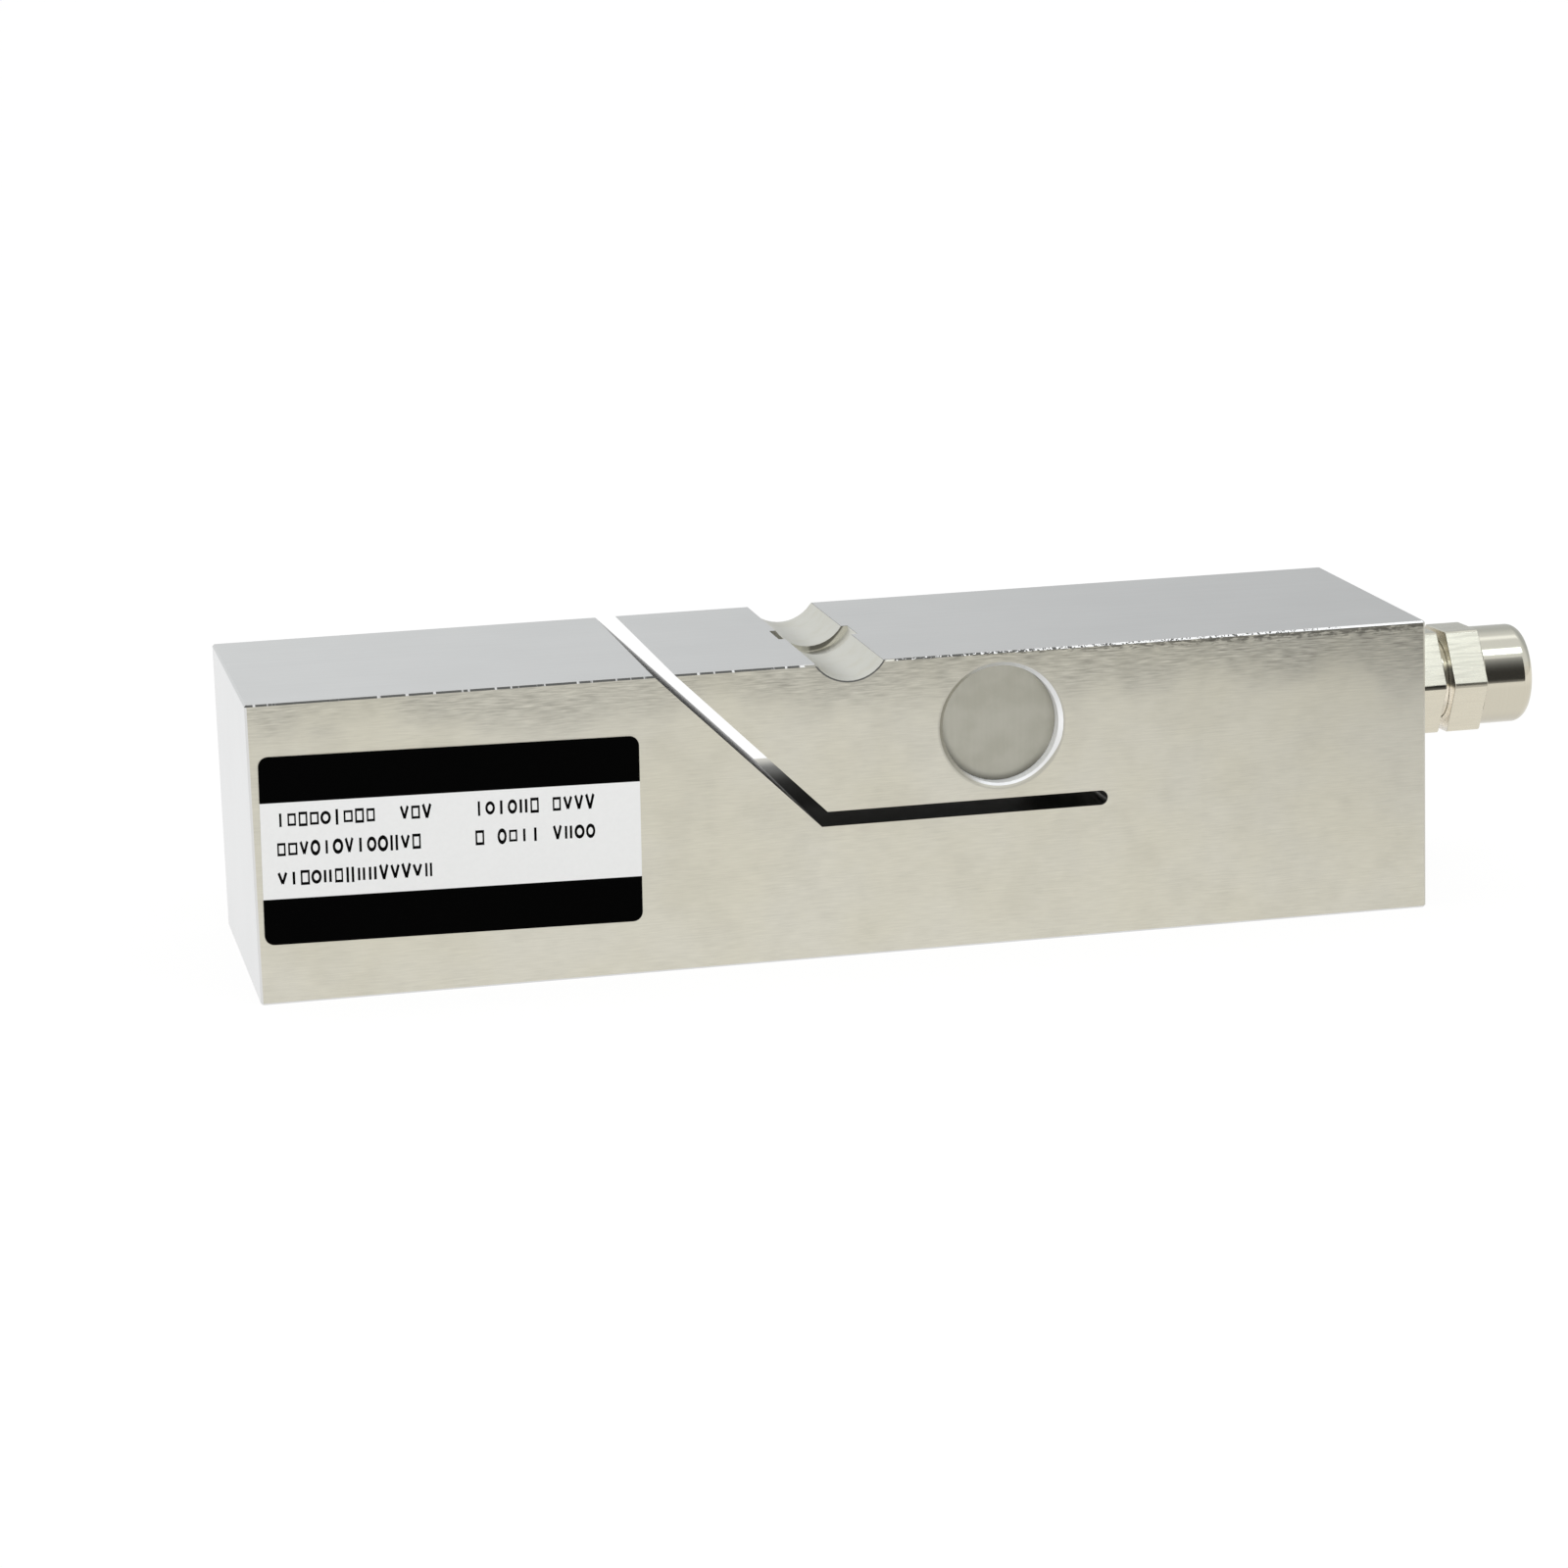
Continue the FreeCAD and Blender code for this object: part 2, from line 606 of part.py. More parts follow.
def make_gland_cage():
    """Clamping cage: sleeve in the gland's bore, a flange on its rim and slotted fingers past it."""
    body = gland_piece("gland_clamp_cage")
    inner = "(dims.bush_diameter / 2 + dims.thread_clearance)"
    outer = "(dims.clamp_bore_diameter / 2 - dims.thread_clearance)"
    finger_end = f"({FLANGE_END} + dims.cage_finger_length)"
    finger_root = f"({NUT_BORE_RADIUS} - 2 * dims.thread_clearance)"
    sleeve = new_sketch(body, "sleeve", "XZ_Plane")
    trace(
        sleeve,
        [
            (CLAMP_SEAT, inner),
            (finger_end, inner),
            (finger_end, f"{finger_root} - dims.cage_finger_length * {CONE_SLOPE}"),
            (FLANGE_END, finger_root),
            (NECK_END, finger_root),
            (NECK_END, outer),
            (CLAMP_SEAT, outer),
        ],
    )
    turn("Revolution", sleeve)
    slot = new_sketch(body, "slot", "XZ_Plane")
    rectangle(slot, (f"{FLANGE_END}", "0"), (f"{finger_end} + dims.cage_slot_width", "dims.neck_diameter"))
    cut = extrude("Pocket", slot, "dims.cage_slot_width", both_sides=True)
    ring = body.newObject("PartDesign::PolarPattern", "cage_slots")
    ring.Originals = [cut]
    ring.Axis = (slot, ["H_Axis"])
    ring.Angle = FULL_TURN
    ring.setExpression("Occurrences", "dims.cage_slot_count")
    body.Tip = ring


def make_gland_bush():
    """Soft sealing bush that grips the cable."""
    body = gland_piece("gland_seal_bush")
    bush_end = f"({FLANGE_END} + dims.bush_overhang)"
    sleeve = new_sketch(body, "sleeve", "XZ_Plane")
    low = (CLAMP_SEAT, "dims.bush_bore_diameter / 2")
    rectangle(sleeve, low, (bush_end, "dims.bush_diameter / 2"))
    turn("Revolution", sleeve)


def make_gland_nut():
    """Gland nut: hexagon, round collar with a rounded end, threaded bore, clamping cone and mouth."""
    body = gland_piece("gland_nut")
    hex_end = f"({NUT_START} + dims.nut_hex_length)"
    flats = new_sketch(body, "flats", "YZ_Plane", NUT_START)
    hexagon(flats, "dims.gland_hex")
    extrude("Pad", flats, "dims.nut_hex_length")
    collar = new_sketch(body, "collar", "YZ_Plane", hex_end)
    circle(collar, "dims.nut_collar_diameter")
    dome = extrude("Pad", collar, "dims.nut_length - dims.nut_hex_length")

    def is_end_rim(edge):
        return edge.Curve.TypeId == "Part::GeomCircle" and edge.BoundBox.XMin > value(hex_end) + 0.5

    dress("Fillet", dome, is_end_rim, "dims.nut_end_radius")
    bore = new_sketch(body, "bore", "XZ_Plane")
    trace(
        bore,
        [
            (NUT_START, "0"),
            (NUT_END, "0"),
            (NUT_END, "dims.nut_mouth_diameter / 2"),
            (CONE_END, "dims.nut_mouth_diameter / 2"),
            (FLANGE_END, NUT_BORE_RADIUS),
            (NUT_START, NUT_BORE_RADIUS),
        ],
    )
    turn("Groove", bore)


def make_label():
    """Rating label: thin rounded plate on the beam's face, stuck on with a slight tilt."""
    tilt = FreeCAD.Rotation(FreeCAD.Vector(0, 1, 0), value("dims.label_tilt"))
    x = f"dims.label_end_margin + dims.label_length / 2 - {BEAM_END}"
    z = "dims.beam_height / 2 + dims.label_raise"
    body = new_body("rating_label", x, f"-{LABEL_FACE}", z, tilt)
    body.setExpression("Placement.Rotation.Angle", "dims.label_tilt")
    plate = new_sketch(body, "plate", "XZ_Plane")
    half = "dims.label_length / 2"
    edge = "dims.label_height / 2"
    rectangle(plate, (f"-{half}", f"-{edge}"), (half, edge))
    sheet_solid = extrude("Pad", plate, "dims.label_thickness")
    across = FreeCAD.Vector(0, 1, 0)
    dress("Fillet", sheet_solid, lambda line: is_straight(line, across), "dims.label_corner_radius")


make_beam()
for side_name, rotation, foil_name, bobbin_name in (
    ("front", LABEL_SIDE, "span_temperature_resistor", "span_trim_resistor"),
    ("rear", REAR_SIDE, "zero_temperature_resistor", "zero_trim_resistor"),
):
    make_cover(f"{side_name}_gauge_cover", rotation)
    make_gauge(f"{side_name}_strain_gauge", rotation)
    make_terminal_board(f"{side_name}_terminal_board", rotation)
    make_gauge_leads(f"{side_name}_gauge_leads", rotation)
    make_foil_resistor(foil_name, rotation)
    make_bobbin_resistor(bobbin_name, rotation)
make_link_leads()
make_gland_gasket()
make_gland_body()
make_gland_cage()
make_gland_bush()
make_gland_nut()
make_label()

doc.recompute()
failed = [item.Label for item in doc.Objects if {"Invalid", "Error"} & set(item.State)]
unsound = [body.Label for body in bodies if body.Shape.isNull() or not body.Shape.isValid()]
if failed or unsound:
    raise RuntimeError(f"failed objects: {failed}, unsound shapes: {unsound}")

os.makedirs("parts", exist_ok=True)
for body in bodies:
    body.Shape.exportStep(f"parts/{body.Label}.step")
    print(body.Label, len(body.Shape.Solids), "solids", round(body.Shape.Volume, 3), "mm3")
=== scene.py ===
import json
import math
from functools import reduce

import bmesh
import bpy
from bpy.props import FloatProperty, FloatVectorProperty, IntProperty, PointerProperty
from mathutils import Matrix, Vector


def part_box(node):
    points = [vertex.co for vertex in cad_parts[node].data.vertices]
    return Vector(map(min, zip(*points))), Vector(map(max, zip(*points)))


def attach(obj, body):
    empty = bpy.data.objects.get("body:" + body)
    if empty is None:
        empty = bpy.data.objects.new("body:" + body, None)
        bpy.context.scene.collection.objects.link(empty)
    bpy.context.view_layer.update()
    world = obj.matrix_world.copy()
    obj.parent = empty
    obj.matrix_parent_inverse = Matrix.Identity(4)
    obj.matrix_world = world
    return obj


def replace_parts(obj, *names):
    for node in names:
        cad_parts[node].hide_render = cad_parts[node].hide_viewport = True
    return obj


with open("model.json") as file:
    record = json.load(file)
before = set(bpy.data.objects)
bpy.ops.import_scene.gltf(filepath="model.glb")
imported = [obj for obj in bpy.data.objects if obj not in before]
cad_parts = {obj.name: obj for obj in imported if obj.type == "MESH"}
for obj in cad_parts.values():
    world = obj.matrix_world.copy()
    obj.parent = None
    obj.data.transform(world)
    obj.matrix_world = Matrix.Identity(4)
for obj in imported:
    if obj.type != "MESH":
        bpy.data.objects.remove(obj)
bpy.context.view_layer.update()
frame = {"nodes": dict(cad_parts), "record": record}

bl_info = {
    "name": "Beam load cell looks",
    "version": (1, 0, 0),
    "blender": (4, 5, 0),
    "location": "3D View > Sidebar > Load Cell",
    "description": "Finishes, label print, windings and studio of a cantilever beam load cell",
    "category": "Object",
}

MM = 0.001
BODY = "root"

# Blender's names for kinds of inputs, of node groups with their output, and of random values
SOCKET_KINDS = {int: "NodeSocketInt", float: "NodeSocketFloat", tuple: "NodeSocketVector"}
GROUP_KINDS = {
    "Shader": ("ShaderNodeTree", "NodeSocketFloat"),
    "Geometry": ("GeometryNodeTree", "NodeSocketGeometry"),
}
RANDOM_KINDS = ("FLOAT_VECTOR", "FLOAT", "INT", "BOOLEAN")

# Softened edges: what counts as one point, one plane, an edge to round and a crease
WELD_DISTANCE = 0.0005 * MM
PLANE_ANGLE = math.radians(0.5)
EDGE_ANGLE = math.radians(25)
CREASE_ANGLE = math.radians(35)

# Fields of marks on the label: name, columns, rows and centre from the label's middle
MARK_FIELDS = (
    ("label_marks_left", 15, 3, (-12.1 * MM, 0.2 * MM)),
    ("label_marks_right", 13, 2, (12.4 * MM, 2.1 * MM)),
)

# Bobbins of the trim resistors and the top layer of the gauges, strips and foil resistors
BOBBIN_FLANGE = 0.42 * MM
BOBBIN_CORE_RADIUS = 0.75 * MM
TOP_LAYER = 0.03 * MM
RESISTOR_FOIL_HEIGHT = 0.25 * MM

# Studio, in metres
FLOOR_RADIUS = 6.0
SOFTBOX_SIZE = (1.0, 0.21)
SOFTBOX_PLACE = Vector((0.181, -0.459, 0.784))
SOFTBOX_AIM = Vector((0.03, 0, 0.03))
SOFTBOX_TINT = (0.9, 0.97, 1.0)
FLAG_SIZE = (0.072, 0.18)
FLAG_PLACE = Vector((0.156, -0.159, FLAG_SIZE[1] / 2))
WHITE = (1, 1, 1)

# Places read from the frame, in metres
BEAM_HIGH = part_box("beam_body")[1]
COVER_LOW, COVER_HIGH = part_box("front_gauge_cover")
NUT_LOW, NUT_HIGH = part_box("gland_nut")
LABEL_LOW, LABEL_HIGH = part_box("rating_label")
POCKET_AXIS = (COVER_LOW + COVER_HIGH) / 2
POCKET_RADIUS = (COVER_HIGH.x - COVER_LOW.x) / 2
GLAND_AXIS = (NUT_LOW + NUT_HIGH) / 2
LABEL_CENTRE = (LABEL_LOW + LABEL_HIGH) / 2


def mount(name):
    """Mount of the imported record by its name."""
    return next(item for item in frame["record"]["mounts"] if item["name"] == name)


GROOVE_AXIS = Vector(mount("load_groove")["pos_m"])
GROOVE_RADIUS = mount("load_groove")["dims"]["r_mm"] * MM


def colour(name, default, description):
    """Colour property in linear light."""
    return FloatVectorProperty(
        name=name, description=description, default=default, subtype="COLOR", size=3, min=0, max=1
    )


def length(name, default, description):
    """Length property in metres."""
    return FloatProperty(
        name=name, description=description, default=default, unit="LENGTH", precision=5
    )


def angle(name, degrees, description):
    """Angle property, given in degrees."""
    return FloatProperty(
        name=name, description=description, default=math.radians(degrees), subtype="ANGLE"
    )


def share(name, default, description):
    """Plain factor from 0 to 1."""
    return FloatProperty(
        name=name, description=description, default=default, min=0, max=1, subtype="FACTOR"
    )


class BeamLook(bpy.types.PropertyGroup):
    # Side, top and end tones differ partly by their finish and partly as painted light, each fitted
    # to how its face is lit
    side: colour("Side", (0.629, 0.609, 0.53), "Ground sides with a warm plated tone")
    stain: colour("Stain", (0.614, 0.589, 0.488), "Yellowish clouds on sides and groove")
    top: colour("Top", (0.7, 0.7, 0.695), "Smooth top")
    end: colour("End", (0.76, 0.765, 0.77), "Smooth ends")
    cut: colour("Cut", (0.17, 0.163, 0.145), "Walls of the slit, as cut")
    groove: colour("Groove", (0.685, 0.675, 0.61), "Ground floor of the load groove")
    # The relief's dark tone is painted shade, for the part of the relief that lies in shadow
    relief: colour("Relief", (0.19, 0.185, 0.165), "Relief across the load groove, as cut")
    # The pocket wall's near white is a painted sheen of its turned rings
    wall: colour("Pocket wall", (0.95, 0.955, 0.96), "Turned wall of the gauge pockets")
    # The dark edge tone is partly burr and partly painted shade
    burr: colour("Edge burr", (0.12, 0.12, 0.115), "Dark dashes along the long edges")
    disc: colour("Cover", (0.46, 0.45, 0.39), "Satin cover discs")
    disc_cloud: colour("Cover cloud", (0.415, 0.405, 0.345), "Clouds on the cover discs")
    chatter_depth: length("Chatter depth", 9 * MM, "How far the chatter reaches down from the top")
    side_roughness: share("Side roughness", 0.4, "Roughness of the ground sides")
    top_roughness: share("Top roughness", 0.3, "Roughness of the top and the ends")


class GlandLook(bpy.types.PropertyGroup):
    # The plate facing up and the plate facing the floor are one nickel; the floorward one's warmer
    # tone is a painted reflection of the floor
    nickel: colour("Nickel", (0.675, 0.662, 0.575), "Bright plate that faces up")
    nickel_floor_reflection: colour("Warm nickel", (0.668, 0.626, 0.515), "Bright plate that faces the floor")
    # The pale tone in the gap's lower part is painted light
    gap_lit_nickel: colour("Nickel in the gap", (0.92, 0.88, 0.8), "Lower walls before the nut")
    rubber: colour("Rubber", (0.025, 0.025, 0.026), "Gasket and sealing bush")
    plastic: colour("Plastic", (0.07, 0.07, 0.075), "Clamping cage")
    brushed_roughness: share("Brushed roughness", 0.28, "Roughness of the hexagons")
    turned_roughness: share("Turned roughness", 0.1, "Roughness of collar and neck")
    hex_reach: length("Hexagon reach", 4.75 * MM, "Length of the nut's hexagon")
    edge_round: length("Edge round", 0.14 * MM, "Rounding of the hexagons' edges")


class LabelLook(bpy.types.PropertyGroup):
    film: colour("Film", (0.925, 0.925, 0.93), "Pale field of the label")
    ink: colour("Ink", (0.001, 0.001, 0.001), "Bands and marks")
    tilt: angle("Tilt", 0.95, "How the label leans on the beam")
    field: length("Field height", 12.8 * MM, "Height of the pale field between the bands")
    mark_pitch: length("Mark pitch", 1.47 * MM, "Distance from mark to mark in a row")
    row_pitch: length("Row pitch", 3.9 * MM, "Distance from row to row")
    mark_height: length("Mark height", 2.1 * MM, "Tallest mark")
    ink_depth: length("Ink depth", 0.004 * MM, "How far the marks stand on the film")
    seed: IntProperty(name="Seed", description="Fixes the run of the marks", default=4)


class GaugeLook(bpy.types.PropertyGroup):
    film: colour("Film", (0.62, 0.3, 0.05), "Amber backing of gauges and foil resistors")
    foil: colour("Foil", (0.62, 0.58, 0.5), "Metal foil lines")
    board: colour("Board", (0.1, 0.27, 0.14), "Glass-epoxy strip")
    solder: colour("Solder", (0.7, 0.7, 0.68), "Pads of the strip")
    copper: colour("Copper", (0.8, 0.4, 0.24), "Leads")
    bobbin: colour("Bobbin", (0.3, 0.19, 0.1), "Moulded bobbins of the trim resistors")
    wire: colour("Wire", (0.5, 0.2, 0.06), "Enamelled resistance wire")
    turns: IntProperty(name="Turns", description="Turns of wire on each bobbin", default=22, min=1)
    wire_radius: length("Wire radius", 0.06 * MM, "Radius of the resistance wire")


class StageLook(bpy.types.PropertyGroup):
    azimuth: angle("Azimuth", -11.628, "Camera's turn round the beam")
    elevation: angle("Elevation", 12.55, "Camera's rise")
    roll: angle("Roll", -1.8575, "Camera's lean")
    distance: length("Distance", 0.64366, "From the camera to its target")
    target: FloatVectorProperty(
        name="Target",
        description="Point the camera looks at",
        default=(-0.004764, 0, 0.019131),
        subtype="XYZ",
    )
    lens: FloatProperty(name="Lens", description="Focal length in millimetres", default=107.517)
    floor: colour("Floor", (0.86, 0.85, 0.83), "Pale floor as it lights the part")
    behind: colour("Behind", (0.81, 0.825, 0.83), "Cool studio behind the part")
    before: colour("Before", (0.86, 0.86, 0.85), "Studio on the camera's side")
    overhead: colour("Overhead", (0.88, 0.88, 0.88), "Studio ceiling")
    whiteness: FloatProperty(name="Whiteness", description="Floor's own light", default=1.05, min=0)
    shade: share("Shadow", 0.14, "Share of the floor's look that takes the shadow")
    softbox: FloatProperty(name="Softbox", description="Power of the softbox in watts", default=1.2)


class Tree:
    """Short calls that add nodes to one tree.

    An input takes a number, a colour or another node's output.
    """

    def __init__(self, tree):
        self.tree = tree

    def node(self, kind, inputs=(), **settings):
        node = self.tree.nodes.new(kind)
        for name, setting in settings.items():
            setattr(node, name, setting)
        return self.feed(node, inputs)

    def feed(self, node, inputs):
        """Gives a node its inputs, each by a link or as a plain value."""
        for key, value in dict(inputs).items():
            if isinstance(value, bpy.types.NodeSocket):
                self.tree.links.new(value, node.inputs[key])
            else:
                node.inputs[key].default_value = value
        return node

    def math(self, operation, *values):
        return self.node("ShaderNodeMath", enumerate(values), operation=operation).outputs[0]

    def vector(self, operation, *values):
        return self.node("ShaderNodeVectorMath", enumerate(values), operation=operation).outputs[0]

    def scaled(self, vector, factor):
        inputs = {0: vector, "Scale": factor}
        return self.node("ShaderNodeVectorMath", inputs, operation="SCALE").outputs[0]

    def split(self, vector):
        return self.node("ShaderNodeSeparateXYZ", {0: vector}).outputs

    def step(self, value, low, high, bottom=0.0, top=1.0):
        """Smooth rise from bottom to top as the value goes from low to high."""
        inputs = {0: value, 1: low, 2: high, 3: bottom, 4: top}
        return self.node("ShaderNodeMapRange", inputs, interpolation_type="SMOOTHSTEP").outputs[0]

    def chain(self, operation, values):
        return reduce(lambda first, second: self.math(operation, first, second), values)

    def both(self, *masks):
        """Where all the masks hold."""
        return self.chain("MULTIPLY", masks)

    def times(self, *values):
        """Product of all the values."""
        return self.chain("MULTIPLY", values)

    def total(self, *values):
        """Sum of all the values."""
        return self.chain("ADD", values)

    def less(self, value, taken):
        return self.math("SUBTRACT", value, taken)

    def dimmed(self, factor, mask, part):
        """Factor that falls to a part of itself where a mask holds."""
        return self.times(factor, self.level(mask, 1.0, part))

    def blend(self, mask, first, second, blend_type="MIX"):
        """Colour that goes from first to second with a mask."""
        inputs = {0: mask, 6: self.rgba(first), 7: self.rgba(second)}
        settings = {"data_type": "RGBA", "blend_type": blend_type}
        return self.node("ShaderNodeMix", inputs, **settings).outputs[2]

    def level(self, mask, first, second):
        """Number that goes from first to second with a mask."""
        return self.node("ShaderNodeMix", {0: mask, 2: first, 3: second}).outputs[0]

    def rgba(self, value):
        return value if isinstance(value, bpy.types.NodeSocket) else (*value, 1)

    def noise(self, vector):
        """Cloudy value about a half, with one cloud to a unit."""
        inputs = {"Vector": vector, "Scale": 1.0, "Detail": 3.0}
        return self.node("ShaderNodeTexNoise", inputs).outputs[0]

    def normal(self):
        """Parts of the flat faces' direction."""
        return self.split(self.node("ShaderNodeNewGeometry").outputs["True Normal"])

    def from_axis(self, point, axis):
        """Offset of a point from an axis across the beam, and its length."""
        offset = self.vector("MULTIPLY", self.vector("SUBTRACT", point, axis), (1, 0, 1))
        span = self.node("ShaderNodeVectorMath", {0: offset}, operation="LENGTH")
        return offset, span.outputs["Value"]

    def along(self, vector, direction):
        """How far a vector goes in a direction."""
        inputs = {0: vector, 1: direction}
        return self.node("ShaderNodeVectorMath", inputs, operation="DOT_PRODUCT").outputs["Value"]

    def tinted(self, base, factor):
        """Colour brightened or darkened by a factor."""
        grey = self.node("ShaderNodeCombineColor", {0: factor, 1: factor, 2: factor}).outputs[0]
        return self.blend(1.0, base, grey, "MULTIPLY")

    def streaks(self, point, size, wander=0.0):
        """Value of the shared tool streaks."""
        inputs = {"Vector": point, "Size": size, "Wander": wander}
        return self.node("ShaderNodeGroup", inputs, node_tree=streak_effect()).outputs[0]

    def patches(self, point, size, low=0.3, high=0.7):
        """Mask of the shared soft patches."""
        inputs = {"Vector": point, "Size": size, "Low": low, "High": high}
        return self.node("ShaderNodeGroup", inputs, node_tree=patch_effect()).outputs[0]

    def draw(self, kind, inputs):
        """Random value of a kind, fixed by its seed."""
        node = self.node("FunctionNodeRandomValue", inputs, data_type=kind)
        return node.outputs[RANDOM_KINDS.index(kind)]

    def bump(self, height, depth, strength):
        inputs = {"Height": height, "Distance": depth, "Strength": strength}
        return self.node("ShaderNodeBump", inputs).outputs[0]


def node_group(name, kind, inputs, output):
    """Empty node group with named inputs, given with their defaults, and one output."""
    tree_kind, output_kind = GROUP_KINDS[kind]
    group = bpy.data.node_groups.new(name, tree_kind)
    for label, default in inputs.items():
        socket_kind = SOCKET_KINDS[type(default)]
        socket = group.interface.new_socket(label, in_out="INPUT", socket_type=socket_kind)
        socket.default_value = default
    group.interface.new_socket(output, in_out="OUTPUT", socket_type=output_kind)
    tree = Tree(group)
    return group, tree, tree.node("NodeGroupInput").outputs, tree.node("NodeGroupOutput")


def streak_effect():
    """Streaks of a tool: a value about a half, drawn out along each axis, with a wander."""
    name = "tool_streaks"
    if name in bpy.data.node_groups:
        return bpy.data.node_groups[name]
    sockets = {"Vector": (0, 0, 0), "Size": (MM, MM, MM), "Wander": 0.0}
    group, tree, start, end = node_group(name, "Shader", sockets, "Streak")
    waves = {"Vector": start["Vector"], "Scale": 0.12 / MM, "Detail": 1.0}
    wave = tree.node("ShaderNodeTexNoise", waves).outputs["Color"]
    centred = tree.vector("SUBTRACT", wave, (0.5, 0.5, 0.5))
    moved = tree.vector("ADD", start["Vector"], tree.scaled(centred, start["Wander"]))
    drawn = tree.vector("DIVIDE", moved, start["Size"])
    tree.feed(end, {"Streak": tree.noise(drawn)})
    return group


def patch_effect():
    """Soft patches of a given size: a mask from 0 to 1."""
    name = "soft_patches"
    if name in bpy.data.node_groups:
        return bpy.data.node_groups[name]
    sockets = {"Vector": (0, 0, 0), "Size": 10 * MM, "Low": 0.4, "High": 0.65}
    group, tree, start, end = node_group(name, "Shader", sockets, "Patch")
    cloud = tree.noise(tree.scaled(start["Vector"], tree.math("DIVIDE", 1.0, start["Size"])))
    tree.feed(end, {"Patch": tree.step(cloud, start["Low"], start["High"])})
    return group


def new_material(name):
    """Material with a Principled shader, its tree and the piece's own coordinates."""
    material = bpy.data.materials.new(name)
    material.use_nodes = True
    tree = Tree(material.node_tree)
    return material, tree, tree.node("ShaderNodeTexCoord").outputs["Object"]


def dressed(material, inputs):
    """Material whose Principled shader takes the given inputs."""
    Tree(material.node_tree).feed(material.node_tree.nodes["Principled BSDF"], inputs)
    return material


def empty_material(name):
    """Material with an empty tree, for the stage."""
    material = bpy.data.materials.new(name)
    material.use_nodes = True
    material.node_tree.nodes.clear()
    return material, Tree(material.node_tree)


def finish(material, *names):
    """Gives nodes of the frame their finish."""
    for name in names:
        slots = frame["nodes"][name].data.materials
        slots.clear()
        slots.append(material)


def ground_side(tree, look, point, fall):
    """Colour, relief and roughness of the ground sides: wavy chatter that fades downwards, with
    painted shade near the top and painted light lower down.
    """
    x = tree.split(point)[0]
    chatter_lines = tree.streaks(point, (2.6 * MM, 1.0, 0.22 * MM), 0.5 * MM)
    fine_lines = tree.streaks(point, (8 * MM, 1.0, 0.1 * MM), 0.3 * MM)
    cloud = tree.patches(point, 14 * MM)
    blotch = tree.patches(point, 5 * MM, 0.4, 0.7)
    right = tree.step(x, -0.05, 0.075)

    # The chatter reaches further down on the gland's half
    reach = tree.times(look.chatter_depth, tree.level(right, 0.8, 1.22))
    uneven = tree.times(tree.less(cloud, 0.5), 5 * MM)
    chatter = tree.step(tree.math("DIVIDE", tree.total(fall, uneven), reach), 1.0, 0.0)

    waved = tree.math("POWER", chatter, 2.0)
    strength = tree.level(waved, 0.16, tree.level(right, 0.85, 1.2))
    swing = tree.times(tree.less(chatter_lines, 0.5), strength)
    fine = tree.times(tree.less(fine_lines, 0.5), 0.15)
    # The chatter band is darker, partly as dulled steel and partly as painted shade; further down
    # the side is painted lighter
    dulled_and_shaded = tree.times(chatter, tree.level(right, -0.19, -0.31))
    lower = tree.step(fall, 5 * MM, 40 * MM, 0.0, 0.05)
    factor = tree.total(1.0, swing, fine, dulled_and_shaded, lower, tree.times(blotch, -0.05))

    # Under the burred edge the face is darker in a ragged band, reaching furthest down at the
    # gland's end
    ragged = tree.streaks(point, (1.1 * MM, 1.0, 0.35 * MM), 0.8 * MM)
    dark_band_depth = tree.step(x, -0.01, 0.075, 0.12 * MM, 1.5 * MM)
    dark_band_edge = tree.times(dark_band_depth, tree.step(ragged, 0.3, 0.7, 0.2, 1.4))
    dark_band = tree.step(tree.math("DIVIDE", fall, dark_band_edge), 1.0, 0.35)
    factor = tree.dimmed(factor, dark_band, 0.42)

    warm = tree.blend(tree.times(cloud, 0.7), look.side, look.stain)
    rough = look.side_roughness
    roughness = tree.step(chatter_lines, 0.3, 0.7, rough + 0.05, rough - 0.05)
    relief = tree.times(chatter_lines, tree.level(chatter, 0.2, 1.0))
    return tree.tinted(warm, factor), relief, roughness


def edge_burr_and_glints(tree, look, point):
    """Colour of the long upper edges: dark dashes by the label, partly burr and partly painted
    shade, and painted glints by the gland and beside the groove.
    """
    x = tree.split(point)[0]
    dashes = tree.streaks(point, (0.9 * MM, 1.0, 1.0))
    dots = tree.streaks(point, (0.3 * MM, 0.3 * MM, 0.3 * MM))
    fleck = tree.level(tree.step(x, -0.02, 0.02), dashes, dots)
    middle = tree.step(x, 0.012, 0.038, 0.59, 0.46)
    bright_from = tree.less(middle, tree.step(x, 0.055, 0.078, 0.0, 0.19))
    bright = tree.step(tree.less(fleck, bright_from), -0.03, 0.03)
    # Painted glints on the edge beside the groove
    glints_beside_groove = tree.both(
        tree.step(x, -6.9 * MM, -6.6 * MM), tree.step(x, -4.6 * MM, -4.8 * MM)
    )
    bright = tree.math("MAXIMUM", bright, glints_beside_groove)
    glint = tree.blend(tree.step(x, -0.03, 0.01), look.top, (0.95, 0.95, 0.95))
    return tree.blend(bright, look.burr, glint)


